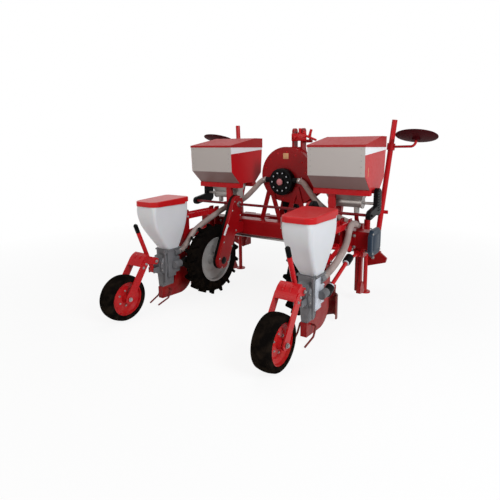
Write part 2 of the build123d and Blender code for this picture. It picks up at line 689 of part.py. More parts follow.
with BuildPart() as chassis:
    side_plate(((UNIT_REAR_Y + 35, ARM_HIGH_Z + 60), (UNIT_REAR_Y - 35, ARM_HIGH_Z + 60),
                (UNIT_REAR_Y - 40, METER_Z + 75), (CHASSIS_REAR, METER_Z + 55), (CHASSIS_REAR, CHASSIS_FOOT),
                (SHOE_NOSE - 10, CHASSIS_FOOT), (UNIT_REAR_Y + 35, METER_Z + 75)), -CHEEK_X, CHEEK_X, 14)
    for y, z in (high_pivots[0], low_pivots[0]):
        across(y, z, -CHEEK_X, CHEEK_X, PIVOT_R + SEAT, Mode.SUBTRACT)
    block((-15, 15), (UNIT_REAR_Y + 30, DEFLECTOR_Y), (CHASSIS_FOOT + 5, CHASSIS_FOOT + 37))
keep_rows(chassis, "unit_chassis")

# Seed meters and hoppers
meter_axle = Axis((0, METER_Y, METER_Z), (1, 0, 0))
with BuildPart() as meter:
    with BuildSketch(wheel_plane(0, METER_Y, METER_Z)):
        Polygon((-METER_HALF, 0), (-METER_HALF, METER_R - 12), (-METER_HALF + 12, METER_R),
                (METER_HALF - 24, METER_R), (METER_HALF - 24, METER_R - 8), (METER_HALF - 10, METER_R - 8),
                (METER_HALF, METER_R - 20), (METER_HALF, 36), (METER_HALF + 8, 30), (METER_HALF + 8, 0),
                align=None)
    revolve(axis=meter_axle)
    with Locations(Plane(origin=(METER_HALF, METER_Y, METER_Z), x_dir=(0, 1, 0), z_dir=(1, 0, 0))):
        with PolarLocations(METER_R * 0.53, METER_RIBS):
            Box(METER_R * 0.5, 6, 8)
    block((-NECK_HALF + 8, NECK_HALF - 8), (NECK_REAR, CHASSIS_REAR - 8), (METER_Z, HOPPER_FOOT))
    block((-NECK_HALF - 6, NECK_HALF + 6), (NECK_REAR, NECK_FRONT), (HOPPER_FOOT - 12, HOPPER_FOOT))
    rod((HOSE_INLET[0], HOSE_INLET[1] - 50, HOSE_INLET[2]), HOSE_INLET, HOSE_R + 4)
    cross_plate(((-44, METER_Z), (44, METER_Z), (SHOE_HALF, METER_FOOT), (-SHOE_HALF, METER_FOOT)),
                METER_Y - 56, METER_Y + 69)
    block((-50, 50), (METER_Y, CHASSIS_REAR), (METER_Z - 65, METER_Z + 50))
    block((METER_HALF - 2, METER_HALF + 12), (METER_Y - 62, METER_Y - 46), (METER_Z - 155, HOPPER_FOOT - 2))
    block((NECK_HALF - 20, METER_HALF + 12), (METER_Y - 62, METER_Y - 20), (HOPPER_FOOT - 26, HOPPER_FOOT - 2))
    rod((CARDAN_X, METER_Y + 16, JOINT_LOW_Z), (CARDAN_X, JOINT_LOW_Y - 40, JOINT_LOW_Z), YOKE_R + 8)
    ear_y = (TUBE_LOW[1] - TUBE_R, METER_Y)
    ear_z = (METER_Z - 45, METER_Z)
    block((TRUNNION_HALF + SEAT - RUNNING, FORK_CHEEK_X + CHEEK - 1), ear_y, ear_z)
    block((-FORK_CHEEK_X - CHEEK + 1, -TRUNNION_HALF - SEAT + RUNNING), ear_y, ear_z)
    lug_x = FORK_CHEEK_X - SEAT
    link((METER_Y - 30, FORK_PIVOT_Z), 27, (FORK_PIVOT_Y, FORK_PIVOT_Z), 20, -lug_x, lug_x)
    across(FORK_PIVOT_Y, FORK_PIVOT_Z, -FORK_CHEEK_X, FORK_CHEEK_X, FORK_PIN_R + SEAT, Mode.SUBTRACT)
keep_rows(meter, "seed_meters")
hopper_levels = (
    (HOPPER_TOP, HOPPER_REAR, HOPPER_FRONT, 112, 132),
    (HOPPER_TOP - 85, HOPPER_REAR + 2, HOPPER_FRONT - 6, 110, 134),
    (HOPPER_TOP - 185, HOPPER_REAR + 28, HOPPER_FRONT - 18, 100, 124),
    (HOPPER_TOP - 285, HOPPER_REAR + 88, HOPPER_FRONT - 33, 84, 100),
    (HOPPER_FOOT + SEAT, NECK_REAR + 10, NECK_FRONT - 8, 64, 72),
)


def hopper_outline(rear, front, half_rear, half_front, grow):
    """Four-sided section of the seed hopper, rounder at the rear, grown evenly."""
    with BuildSketch(mode=Mode.PRIVATE) as section:
        Polygon((-half_rear - grow, rear - grow), (half_rear + grow, rear - grow),
                (half_front + grow, front + grow), (-half_front - grow, front + grow), align=None)
        corners = section.vertices().sort_by(Axis.Y)
        fillet(corners[:2], HOPPER_REAR_CORNER + grow)
        fillet(section.vertices().sort_by(Axis.Y)[-2:], HOPPER_CORNER + grow)
    return section.sketch_local


with BuildPart() as hopper:
    for z, *sizes in hopper_levels:
        with BuildSketch(Plane.XY.offset(z)):
            add(hopper_outline(*sizes, 0))
    loft(ruled=True)
    floor = hopper_levels[-1][0] + HOPPER_WALL
    for z, *sizes in hopper_levels:
        with BuildSketch(Plane.XY.offset(max(z, floor))):
            add(hopper_outline(*sizes, -HOPPER_WALL))
    loft(ruled=True, mode=Mode.SUBTRACT)
keep_each_row(hopper, "hopper")
lid_base = HOPPER_TOP + SEAT
lid_rear = HOPPER_REAR - SEED_LID_OVERHANG
lid_front = HOPPER_FRONT + SEED_LID_OVERHANG
rim = hopper_levels[0][1:]
with BuildPart() as hopper_lid:
    with BuildSketch(Plane.XY.offset(lid_base)):
        add(hopper_outline(*rim, SEED_LID_OVERHANG))
    extrude(amount=SEED_LID_FRONT)
    with BuildSketch(Plane.YZ.offset(-ROW_X / 2)):
        Polygon((lid_rear - 1, lid_base + SEED_LID_REAR), (lid_front, lid_base + SEED_LID_FRONT),
                (lid_front, lid_base + 2 * SEED_LID_FRONT), (lid_rear - 1, lid_base + 2 * SEED_LID_FRONT),
                align=None)
    extrude(amount=ROW_X, mode=Mode.SUBTRACT)
    fillet(hopper_lid.faces().sort_by(Axis.Z)[-1].edges(), 10)
    with BuildSketch(Plane.XY.offset(lid_base)):
        add(hopper_outline(*rim, SEED_LID_OVERHANG - SEED_LID_WALL))
    extrude(amount=SEED_LID_REAR / 2, mode=Mode.SUBTRACT)
    with BuildSketch(Plane.XY.offset(HOPPER_TOP - SEED_LID_SKIRT)):
        add(hopper_outline(*rim, SEED_LID_OVERHANG))
        add(hopper_outline(*rim, SEED_LID_OVERHANG - 5), mode=Mode.SUBTRACT)
        with Locations((0, lid_front)):
            Rectangle(ROW_X, 120, mode=Mode.SUBTRACT)
    extrude(amount=SEED_LID_SKIRT + 2 * SEAT)
    for x in (-60, 60):
        link((SEED_HINGE_Y, lid_base + SEED_HINGE_R), SEED_HINGE_R, (lid_front - 6, lid_base + SEED_HINGE_R),
             SEED_HINGE_R, x - 18, x + 18)
keep_each_row(hopper_lid, "hopper_lid")

# Ground-working parts of the row unit
with BuildPart() as opener:
    with BuildSketch(Plane.YZ.offset(-SHOE_HALF)):
        with BuildLine():
            nose = ThreePointArc((SHOE_NOSE, METER_FOOT), (SHOE_NOSE - 36, 88), (SHOE_NOSE - 160, 37))
            Polyline(nose @ 1, (-470, 50), (-470, METER_FOOT), (CHASSIS_REAR - 32, METER_FOOT),
                     (CHASSIS_REAR, CHASSIS_FOOT), (SHOE_NOSE - 10, CHASSIS_FOOT), nose @ 0)
        make_face()
    extrude(amount=2 * SHOE_HALF)
keep_rows(opener, "furrow_openers")
with BuildPart() as deflector:
    with BuildSketch(Plane.XY.offset(DEFLECTOR_FOOT)):
        with BuildLine():
            ThreePointArc((-60, -30), (-38, 36), (0, DEFLECTOR_Y + 10))
            ThreePointArc((0, DEFLECTOR_Y + 10), (38, 36), (60, -30))
            Line((60, -30), (50, -34))
            ThreePointArc((50, -34), (30, 26), (0, DEFLECTOR_Y - 4))
            ThreePointArc((0, DEFLECTOR_Y - 4), (-30, 26), (-50, -34))
            Line((-50, -34), (-60, -30))
        make_face()
    extrude(amount=DEFLECTOR_HEIGHT)
    rod((0, DEFLECTOR_Y, DEFLECTOR_FOOT + DEFLECTOR_HEIGHT - 30), (0, DEFLECTOR_Y, CHASSIS_FOOT + 5), 12)
keep_rows(deflector, "clod_deflectors")
with BuildPart() as tines:
    bent_rod(((SHOE_HALF, TINE_Y, TINE_Z), (TINE_X, TINE_Y, TINE_Z), (TINE_X, TINE_Y - 45, TINE_Z * 0.45),
              (TINE_X - 12, TINE_Y - 149, TINE_R + 13)), 20, TINE_R)
    mirror(about=Plane.YZ)
keep_rows(tines, "covering_tines")

# Press wheel, its fork and depth setting
with BuildPart() as fork:
    for x in (FORK_X, -FORK_X - FORK_PLATE):
        link(PRESS_AXLE, FORK_R, (CROWN_Y, CROWN_Z), FORK_R - 4, x, x + FORK_PLATE)
        across(*PRESS_AXLE, x, x + FORK_PLATE, PRESS_AXLE_R + PRESSED, Mode.SUBTRACT)
    ribbon(((CROWN_Y - 32, CROWN_Z - 16), (CROWN_Y - 2, CROWN_Z + 38), (CROWN_Y + 46, CROWN_Z + 66)), 20,
           -FORK_X - 4, FORK_X + 4)
    for x in (FORK_CHEEK_X, -FORK_CHEEK_X - 11):
        link((CROWN_Y + 16, CROWN_Z + 28), 36, (FORK_PIVOT_Y, FORK_PIVOT_Z), 28, x, x + 11)
    across(FORK_PIVOT_Y, FORK_PIVOT_Z, -FORK_CHEEK_X - 16, FORK_CHEEK_X + 16, FORK_PIN_R)
keep_rows(fork, "press_forks")
with BuildPart() as press_axle:
    across(*PRESS_AXLE, -FORK_X - FORK_PLATE - 8, FORK_X + FORK_PLATE + 8, PRESS_AXLE_R)
keep_rows(press_axle, "press_axles")
with BuildPart() as depth_tube:
    rod(TUBE_LOW, TUBE_HIGH, TUBE_R)
    across(TUBE_LOW[1], TUBE_LOW[2], -TRUNNION_HALF, TRUNNION_HALF, TUBE_R + 4)
keep_rows(depth_tube, "depth_tubes")
lean = (Vector(*TUBE_HIGH) - Vector(*TUBE_LOW)).normalized()
grip = Vector(*TUBE_HIGH) + lean * 65
with BuildPart() as handle:
    rod(TUBE_HIGH, grip, HANDLE_R)
    with Locations(grip):
        Sphere(HANDLE_R)
keep_rows(handle, "depth_handles")
press_line = Axis((0, *PRESS_AXLE), (1, 0, 0))
half = PRESS_WIDTH / 2
bead = PRESS_RIM_R + SEAT
shoulder = PRESS_R - PRESS_CROWN
with BuildPart() as press_tyre:
    with BuildSketch(wheel_plane(0, *PRESS_AXLE)):
        with BuildLine():
            wall = shoulder - PRESS_SHOULDER
            flat = half - PRESS_SHOULDER
            Polyline((-half, wall), (-half, bead), (half, bead), (half, wall))
            RadiusArc((half, wall), (flat, shoulder), -PRESS_SHOULDER)
            ThreePointArc((flat, shoulder), (0, PRESS_R), (-flat, shoulder))
            RadiusArc((-flat, shoulder), (-half, wall), -PRESS_SHOULDER)
        make_face()
    revolve(axis=press_line)
keep_each_row(press_tyre, "press_tyre")
well = PRESS_RIM_R - PRESS_RIM_WALL
bore = PRESS_AXLE_R + RUNNING
with BuildPart() as press_rim:
    with BuildSketch(wheel_plane(0, *PRESS_AXLE)):
        Polygon((-PRESS_HUB_HALF, bore), (PRESS_HUB_HALF, bore), (PRESS_HUB_HALF, PRESS_HUB_R),
                (PRESS_DISH + 10, PRESS_HUB_R + 8), (PRESS_DISH, well - 30), (PRESS_DISH + 14, well - 4),
                (PRESS_RIM_HALF, well), (PRESS_RIM_HALF, PRESS_RIM_R), (-PRESS_RIM_HALF, PRESS_RIM_R),
                (-PRESS_RIM_HALF, well), (-PRESS_DISH - 14, well - 4), (-PRESS_DISH, well - 30),
                (-PRESS_DISH - 10, PRESS_HUB_R + 8), (-PRESS_HUB_HALF, PRESS_HUB_R), align=None)
    revolve(axis=press_line)
keep_each_row(press_rim, "press_rim")

# Fertilizer openers with their drop hoses, one beside each row
shank_x = (SHANK_X - SHANK_WIDTH / 2, SHANK_X + SHANK_WIDTH / 2)
shank_front = BAR_FRONT + SHANK_DEPTH
with BuildPart() as fertilizer:
    block(shank_x, (BAR_FRONT, shank_front), (180, BAR_TOP + 40))
    side_plate(((BAR_FRONT, 182), (shank_front, 182), (shank_front + 50, 80), (shank_front + 20, 70),
                (BAR_FRONT - 30, 85)), shank_x[0] - 6, shank_x[1] + 6, 10)
    rod((SPOUT_X, SPOUT_Y, 95), (SPOUT_X, SPOUT_Y, SPOUT_TOP), SPOUT_R + 3)
    block((SPOUT_X, SHANK_X), (SPOUT_Y - 10, SPOUT_Y + 10), (200, 240))
    drop = FEED_Z - FEED_DROP - SPOUT_TOP
    bent_rod(((SPOUT_X, FEED_Y, SPOUT_TOP + drop), (SPOUT_X, FEED_Y, SPOUT_TOP + drop * 0.855),
              (SPOUT_X, SPOUT_Y, SPOUT_TOP + drop * 0.67), (SPOUT_X, SPOUT_Y, SPOUT_TOP)),
             (drop * 0.18, drop * 0.24), SPOUT_R)
keep_rows(fertilizer, "fertilizer_openers")

# Row markers, folded up
pivot = Vector(*MARKER_PIVOT)
fold = Vector(*MARKER_TOP) - pivot
collar = pivot + fold * MARKER_COLLAR
ear = pivot + fold * MARKER_EAR
tilt = Vector(0, sin(radians(DISC_TILT)), cos(radians(DISC_TILT)))
disc = Vector(*DISC_CENTRE)
eye = (pivot.Y - MARKER_EYE_HALF, pivot.Y + MARKER_EYE_HALF)
with BuildPart() as marker_arm:
    rod((pivot.X, eye[0], pivot.Z), (pivot.X, eye[1], pivot.Z), MARKER_EYE_R)
    rod(pivot, MARKER_TOP, MARKER_R)
    rod(collar - fold.normalized() * 30, collar + fold.normalized() * 30, MARKER_R + 12)
    block((ear.X, ear.X + 62), (ear.Y - 6, ear.Y + 6), (ear.Z - 16, ear.Z + 16))
    bent_rod((collar, disc - tilt * 75, disc + tilt * 14), 40, STEM_R)
    rod((pivot.X, eye[0], pivot.Z), (pivot.X, eye[1], pivot.Z), MARKER_PIN_R + RUNNING, Mode.SUBTRACT)
keep_pair(marker_arm, "marker_arm")
with BuildPart() as marker_disc:
    with BuildSketch(Plane(origin=disc, x_dir=(1, 0, 0), z_dir=tilt).rotated((90, 0, 0))):
        with BuildLine():
            under = ThreePointArc((DISC_HUB_R, -4), (DISC_R * 0.6, 2), (DISC_R, 16))
            over = ThreePointArc((DISC_R, 20), (DISC_R * 0.6, 7), (DISC_HUB_R, 2))
            Line(under @ 1, over @ 0)
            Polyline(over @ 1, (DISC_HUB_R, 12), (STEM_R + RUNNING, 12), (STEM_R + RUNNING, -22),
                     (DISC_HUB_R, -22), under @ 0)
        make_face()
    revolve(axis=Axis(disc, tilt))
keep_pair(marker_disc, "marker_disc")
with BuildPart() as marker_brackets:
    cheek = (pivot.X - 50, pivot.X + 45)
    cross_plate(((BEAM_HALF - 120, BEAM_TOP), (BEAM_HALF + 10, BEAM_TOP), (cheek[1] + 15, pivot.Z + 60),
                 (MARKER_TOE, pivot.Z + 5), (MARKER_TOE - 10, pivot.Z - 35), (cheek[0], pivot.Z - 90),
                 (BEAM_HALF - 120, BEAM_Z - 45)), BEAM_FRONT, eye[0] - MARKER_GAP)
    cross_plate(((cheek[0], pivot.Z + 60), (cheek[1], pivot.Z + 40), (cheek[1], pivot.Z - 45),
                 (cheek[0], pivot.Z - 90)), eye[1] + MARKER_GAP, eye[1] + MARKER_GAP + 16)
    block((cheek[0] - 30, cheek[0]), (BEAM_FRONT, eye[1] + MARKER_GAP + 16), (pivot.Z - 75, pivot.Z + 60))
    rod((pivot.X, BEAM_FRONT, pivot.Z), (pivot.X, eye[1] + MARKER_GAP + 16, pivot.Z), MARKER_PIN_R)
    mirror(about=Plane.YZ)
keep(marker_brackets, "marker_brackets")

# Parking stands
with BuildPart() as sleeves:
    rod((STAND_X, STAND_Y, BEAM_Z - 120), (STAND_X, STAND_Y, BEAM_Z + 100), STAND_R + STAND_WALL)
    block((BEAM_HALF, STAND_X), (BEAM_Y - 45, BEAM_Y + 45), (BEAM_Z - 45, BEAM_Z + 45))
    rod((STAND_X, STAND_Y, BEAM_Z - 190), (STAND_X, STAND_Y, BEAM_Z + 110), STAND_R + STAND_PLAY, Mode.SUBTRACT)
    mirror(about=Plane.YZ)
keep(sleeves, "stand_sleeves")
with BuildPart() as stand:
    rod((STAND_X, STAND_Y, 0), (STAND_X, STAND_Y, 12), 50)
    fillet(stand.faces().sort_by(Axis.Z)[-1].edges(), 4)
    rod((STAND_X, STAND_Y, 6), (STAND_X, STAND_Y, BEAM_Z + 140), STAND_R)
keep_pair(stand, "stand_leg")

# Vacuum hoses from the manifold over the toolbar to the seed meters
hose_start = MANIFOLD_R + SPIGOT_LENGTH
inlet = Vector(*HOSE_INLET)
beside_left = ROW_X - HOSE_BESIDE
beside_right = ROW_X + HOSE_BESIDE
left_run = (
    (-hose_start, spigot_y, SPIGOT_Z), (-215, spigot_y, SPIGOT_Z), (-300, 407, 948), (-400, 388, 850),
    (-540, 386, 782), (-beside_left, 384, 766), (-beside_left + 4, -110, 615), (-beside_left + 4, -200, 520),
    (inlet.X - ROW_X, inlet.Y + 60, inlet.Z), (inlet.X - ROW_X, inlet.Y, inlet.Z),
)
left_bends = (80, 150, 150, 150, 50, 150, 80, 60)
right_run = (
    (hose_start, spigot_y, SPIGOT_Z), (215, spigot_y, SPIGOT_Z), (300, 407, 948), (400, 388, 850),
    (545, 386, 760), (beside_right + 4, 386, BAR_TOP + 28), (beside_right, 150, 775),
    (beside_right - 2, 70, 590), (beside_right + 2, -150, 500),
    (inlet.X + ROW_X, inlet.Y + 60, inlet.Z), (inlet.X + ROW_X, inlet.Y, inlet.Z),
)
right_bends = (80, 150, 150, 200, 80, 70, 90, 150, 100)
for side, run, bends in (("left", left_run, left_bends), ("right", right_run, right_bends)):
    with BuildPart() as hose:
        bent_rod(run, bends, HOSE_R, HOSE_R - HOSE_WALL)
    keep(hose, f"vacuum_hose_{side}")
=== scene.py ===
"""Two-row precision planter: finishes, fittings and studio, built round its solid model."""

from math import cos, pi, radians, sin

import bmesh
import bpy
from bpy.props import FloatProperty, FloatVectorProperty, IntProperty, PointerProperty
from mathutils import Matrix, Vector


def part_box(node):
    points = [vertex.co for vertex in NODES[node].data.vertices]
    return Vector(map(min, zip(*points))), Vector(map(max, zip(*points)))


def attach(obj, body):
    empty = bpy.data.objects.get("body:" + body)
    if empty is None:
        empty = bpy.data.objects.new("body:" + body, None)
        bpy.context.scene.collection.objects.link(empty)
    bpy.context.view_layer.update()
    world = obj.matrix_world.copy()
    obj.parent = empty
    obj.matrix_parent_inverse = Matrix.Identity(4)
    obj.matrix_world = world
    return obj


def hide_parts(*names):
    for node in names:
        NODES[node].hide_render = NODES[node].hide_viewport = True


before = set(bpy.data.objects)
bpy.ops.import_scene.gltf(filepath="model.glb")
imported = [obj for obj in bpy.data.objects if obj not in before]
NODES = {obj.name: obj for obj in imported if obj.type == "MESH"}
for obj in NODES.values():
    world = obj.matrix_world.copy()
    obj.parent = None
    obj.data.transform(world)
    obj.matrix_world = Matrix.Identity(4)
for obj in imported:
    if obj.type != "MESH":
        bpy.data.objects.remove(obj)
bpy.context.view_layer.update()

bl_info = {
    "name": "Precision Planter",
    "version": (1, 0, 0),
    "blender": (4, 5, 0),
    "location": "View3D > Sidebar > Planter",
    "description": "Dresses a two-row precision planter with paint, castings, rubber, hoses and fittings",
    "category": "Object",
}


def linear(*rgb):
    """Display colour, 0 to 255, as the linear colour that shaders use."""
    return tuple((c / 255 / 12.92) if c <= 10 else ((c / 255 + 0.055) / 1.055) ** 2.4 for c in rgb) + (1.0,)


def colour(name, rgb, what):
    """Colour property with a default given in display values."""
    return FloatVectorProperty(name=name, description=what, subtype="COLOR", size=4, min=0, max=1,
                               default=linear(*rgb))


class PlanterColours(bpy.types.PropertyGroup):
    """Colours of the planter's finishes."""
    red: colour("Red paint", (196, 22, 30), "Arms, forks, tank ends and marker arms")
    # Darker red: partly the paint's own deeper tone, partly painted shade for the parts that sit in shadow.
    dark_red_and_shade: colour("Dark red and painted shade", (156, 14, 20), "Fan, toolbar, hitch, openers and chain cases")
    lid_red: colour("Lid red", (198, 24, 28), "Moulded lids of the seed hoppers")
    tank_lid: colour("Tank lid red", (168, 36, 38), "Duller lids of the fertilizer tanks")
    maroon: colour("Maroon", (122, 16, 24), "Soil-working parts")
    disc: colour("Disc", (72, 13, 19), "Dark marker discs")
    hopper: colour("Hopper white", (220, 221, 224), "Moulded seed hoppers")
    panel: colour("Tank panel", (188, 182, 178), "Pale rear and front panels of the tanks")
    # Darker colour for the sloped lower tank panels: painted shade where the panels turn downward.
    slope: colour("Shaded tank slope", (146, 122, 119), "Sloped lower panels of the tanks")
    stripe: colour("Tank stripe", (240, 240, 242), "Band along the top of the tank ends")
    casting: colour("Casting", (122, 122, 125), "Cast aluminium seed meters")
    # Pale colour: real pale metal on the shaft rings and port plugs, and painted light on the right meter cover.
    pale: colour("Pale metal and lit casting", (208, 212, 220), "Right meter cover, shaft rings and port plugs")
    cream: colour("Cream", (214, 162, 118), "Blank plates")
    cap: colour("Fan cap", (214, 132, 136), "Faded cap in the middle of the fan's manifold")
    zinc: colour("Zinc", (176, 172, 168), "Plated meters under the tanks")
    steel: colour("Steel", (168, 166, 164), "Bare shafts and pins")
    rim: colour("Wheel grey", (176, 174, 172), "Painted drive wheel centres")
    rubber: colour("Rubber", (15, 13, 12), "Tyres")
    black: colour("Black plastic", (15, 15, 16), "Manifold, boots, grips, guards and caps")
    slate: colour("Slate", (44, 57, 72), "Gear guard at the end of the toolbar")
    hose: colour("Hose", (176, 158, 152), "Ribbed vacuum hoses")
    dust: colour("Dust", (150, 124, 100), "Dry soil on the lower parts")
    floor: colour("Floor", (250, 250, 250), "Studio floor")


class PlanterSizes(bpy.types.PropertyGroup):
    """Sizes of the fittings that the solids leave out."""
    hose_radius: FloatProperty(name="Hose radius", description="Outer radius of the vacuum hoses", default=0.026,
                               unit="LENGTH")
    hose_pitch: FloatProperty(name="Hose pitch", description="Distance between the ribs of a hose", default=0.0095,
                              unit="LENGTH")
    hopper_rings: IntProperty(name="Hopper rings", description="Rings along the height of a hopper", default=20)
    view_lens: FloatProperty(name="Lens", description="Camera lens", default=28.94, unit="CAMERA")


# Places and sizes in the tables and operators below are millimetres in the planter's frame.
MM = 0.001
ROWS = {"left": -700, "right": 700}
SIDES = {"left": -1, "right": 1}
UP, REAR, AHEAD, RIGHT = (0, 0, 1), (0, -1, 0), (0, 1, 0), (1, 0, 0)

# Bolt outlines of (radius, height) as shares of the head's radius.
WASHER = ((0, 0), (1.3, 0), (1.3, 0.18), (1.2, 0.25), (0, 0.25))
THREAD_END = ((0.48, 0.9), (0.48, 1.12), (0.4, 1.2), (0, 1.2))
HEAD_DEPTH, HEAD_MIDDLE, HEAD_CHAMFER = 0.7, 0.58, 0.12
BOLT_SUNK = 0.0004
MERGE_DISTANCE = 2e-6


def spot(x, y, z):
    """Point given in millimetres."""
    return Vector((x, y, z)) * MM


def turned_to(axis):
    """Turn that takes the Z axis to another direction."""
    return Vector(UP).rotation_difference(Vector(axis)).to_matrix().to_4x4()


def around(count, radius, start=0):
    """Even places round a circle, from a start angle in degrees."""
    angles = [radians(360 / count * turn + start) for turn in range(count)]
    return [(radius * cos(angle), radius * sin(angle)) for angle in angles]


def edges_of(verts):
    """Edges that touch some vertices, each once, in the same order each run."""
    return list(dict.fromkeys(edge for vert in verts for edge in vert.link_edges))


def spun(made, profile, base, axis, steps):
    """Outline of (radius, height) in millimetres turned round an axis through a point."""
    turn = turned_to(axis)
    start = [made.verts.new(base + turn @ spot(r, 0, h)) for r, h in profile]
    line = [made.edges.new(pair) for pair in zip(start, start[1:])]
    bmesh.ops.spin(made, geom=start + line, cent=base, axis=Vector(axis), angle=2 * pi, steps=steps, use_merge=True)


def slab(made, low, high, soften, turn=None, about=None):
    """Block between two corners in millimetres, with softened edges, turned about a point if asked."""
    verts = bmesh.ops.create_cube(made, size=1.0)["verts"]
    low, high = spot(*low), spot(*high)
    bmesh.ops.scale(made, vec=high - low, verts=verts)
    bmesh.ops.translate(made, vec=(high + low) / 2, verts=verts)
    if turn:
        bmesh.ops.rotate(made, verts=verts, cent=spot(*about), matrix=turn)
    bmesh.ops.bevel(made, geom=edges_of(verts), offset=soften * MM, segments=2, profile=0.5, affect="EDGES",
                    material=-1)


def bolt(made, at, out, size):
    """Hexagon head with its washer and thread end; size is the head's radius."""
    base = spot(*at) - Vector(out).normalized() * BOLT_SUNK
    spun(made, [(r * size, h * size) for r, h in WASHER], base, out, 16)
    turn = turned_to(out)
    middle = Matrix.Translation(base + turn @ spot(0, 0, HEAD_MIDDLE * size)) @ turn
    head = bmesh.ops.create_cone(made, cap_ends=True, segments=6, radius1=size * MM, radius2=size * MM,
                                 depth=HEAD_DEPTH * size * MM, matrix=middle)["verts"]
    back = turn.inverted()
    top = [edge for edge in edges_of(head)
           if all((back @ (vert.co - base)).z > HEAD_DEPTH * size * MM for vert in edge.verts)]
    bmesh.ops.bevel(made, geom=top, offset=HEAD_CHAMFER * size * MM, segments=1, profile=0.5, affect="EDGES",
                    material=-1)
    spun(made, [(r * size, h * size) for r, h in THREAD_END], base, out, 10)


def tube(made, stations, segments):
    """Tube with a ring at each (centre, direction, radius) station, closed at both ends."""
    turn = turned_to(stations[0][1])
    heading = stations[0][1]
    last = None
    for centre, along, radius in stations:
        turn = heading.rotation_difference(along).to_matrix().to_4x4() @ turn
        heading = along
        ring = bmesh.ops.create_circle(made, cap_ends=False, segments=segments, radius=radius * MM,
                                       matrix=Matrix.Translation(centre) @ turn)["verts"]
        edges = edges_of(ring)
        if last:
            bmesh.ops.bridge_loops(made, edges=last + edges)
        else:
            bmesh.ops.contextual_create(made, geom=edges)
        last = edges
    bmesh.ops.contextual_create(made, geom=last)


def straight(made, start, end, radius, segments=12):
    """Round bar between two points in millimetres."""
    a, b = spot(*start), spot(*end)
    along = (b - a).normalized()
    chamfer = min(radius * 0.2, 2.0)
    tube(made, [(a, along, radius - chamfer), (a + along * chamfer * MM, along, radius),
                (b - along * chamfer * MM, along, radius), (b, along, radius - chamfer)], segments)


def route(points):
    """Points read from a smooth spline whose control points, in millimetres, are a hose's route."""
    curve = bpy.data.curves.new("route", "CURVE")
    curve.dimensions = "3D"
    spline = curve.splines.new("NURBS")
    spline.points.add(len(points) - 1)
    for point, at in zip(spline.points, points):
        point.co = (*spot(*at), 1.0)
    spline.order_u = 3
    spline.use_endpoint_u = True
    spline.resolution_u = 40
    holder = bpy.data.objects.new("route", curve)
    mesh = bpy.data.meshes.new_from_object(holder)
    read = [vert.co.copy() for vert in mesh.vertices]
    bpy.data.objects.remove(holder)
    bpy.data.curves.remove(curve)
    bpy.data.meshes.remove(mesh)
    return read


def evenly(points, step):
    """(centre, direction) at even steps along points read from a spline."""
    runs = [(b - a).length for a, b in zip(points, points[1:])]
    count = round(sum(runs) / (step * MM))
    wanted = [sum(runs) * i / count for i in range(count + 1)]
    out = []
    done = 0.0
    index = 0
    for distance in wanted:
        while index < len(runs) - 1 and done + runs[index] < distance:
            done += runs[index]
            index += 1
        along = points[index + 1] - points[index]
        out.append((points[index] + along * ((distance - done) / runs[index]), along.normalized()))
    return out


def new_piece(name, made, material, body="frame", smooth=38):
    """Finished mesh as an object at the origin that rides a body."""
    bmesh.ops.remove_doubles(made, verts=made.verts, dist=MERGE_DISTANCE)
    bmesh.ops.recalc_face_normals(made, faces=made.faces)
    for face in made.faces:
        face.smooth = True
    for edge in made.edges:
        edge.smooth = edge.calc_face_angle(0.0) < radians(smooth)
    mesh = bpy.data.meshes.new(name)
    made.to_mesh(mesh)
    made.free()
    mesh.materials.append(material)
    piece = bpy.data.objects.new(name, mesh)
    bpy.context.scene.collection.objects.link(piece)
    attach(piece, body)
    return piece


class Shader:
    """Small helper that adds and joins shader nodes in one tree."""

    def __init__(self, tree):
        self.tree = tree
        tree.nodes.clear()

    def add(self, kind, **values):
        """New node; I and a number is an input by place, another capital an input by name, the rest settings."""
        node = self.tree.nodes.new("ShaderNode" + kind)
        for key, value in values.items():
            if key[0] == "I" and key[1:].isdigit():
                self.feed(value, node.inputs[int(key[1:])])
            elif key[0].isupper():
                self.feed(value, node.inputs[key.replace("_", " ")])
            else:
                setattr(node, key, value)
        return node

    def feed(self, value, socket):
        """Join an output to a socket, or set a plain value on it."""
        if isinstance(value, bpy.types.NodeSocket):
            self.tree.links.new(value, socket)
        else:
            socket.default_value = value

    def math(self, operation, a, b=0.0, clamp=False):
        """Math node's result."""
        return self.add("Math", operation=operation, use_clamp=clamp, I0=a, I1=b).outputs[0]

    def mix(self, factor, a, b):
        """Blend of two colours; 6, 7 and 2 are a Mix node's colour sockets."""
        node = self.add("Mix", data_type="RGBA")
        self.feed(factor, node.inputs[0])
        self.feed(a, node.inputs[6])
        self.feed(b, node.inputs[7])
        return node.outputs[2]

    def ramp(self, value, low, high, to_low=0.0, to_high=1.0):
        """Value mapped from one span to another, held at the ends."""
        return self.add("MapRange", Value=value, From_Min=low, From_Max=high, To_Min=to_low,
                        To_Max=to_high).outputs[0]

    def noise(self, vector, scale, detail, rough=0.55):
        """Noise value."""
        return self.add("TexNoise", Vector=vector, Scale=scale, Detail=detail, Roughness=rough).outputs[0]

    def shown(self):
        """1 for the rays that show the white surround: camera, glossy and transmission rays."""
        path = self.add("LightPath").outputs
        mirrored = self.math("MAXIMUM", path["Is Glossy Ray"], path["Is Transmission Ray"])
        return self.math("MAXIMUM", path["Is Camera Ray"], mirrored)


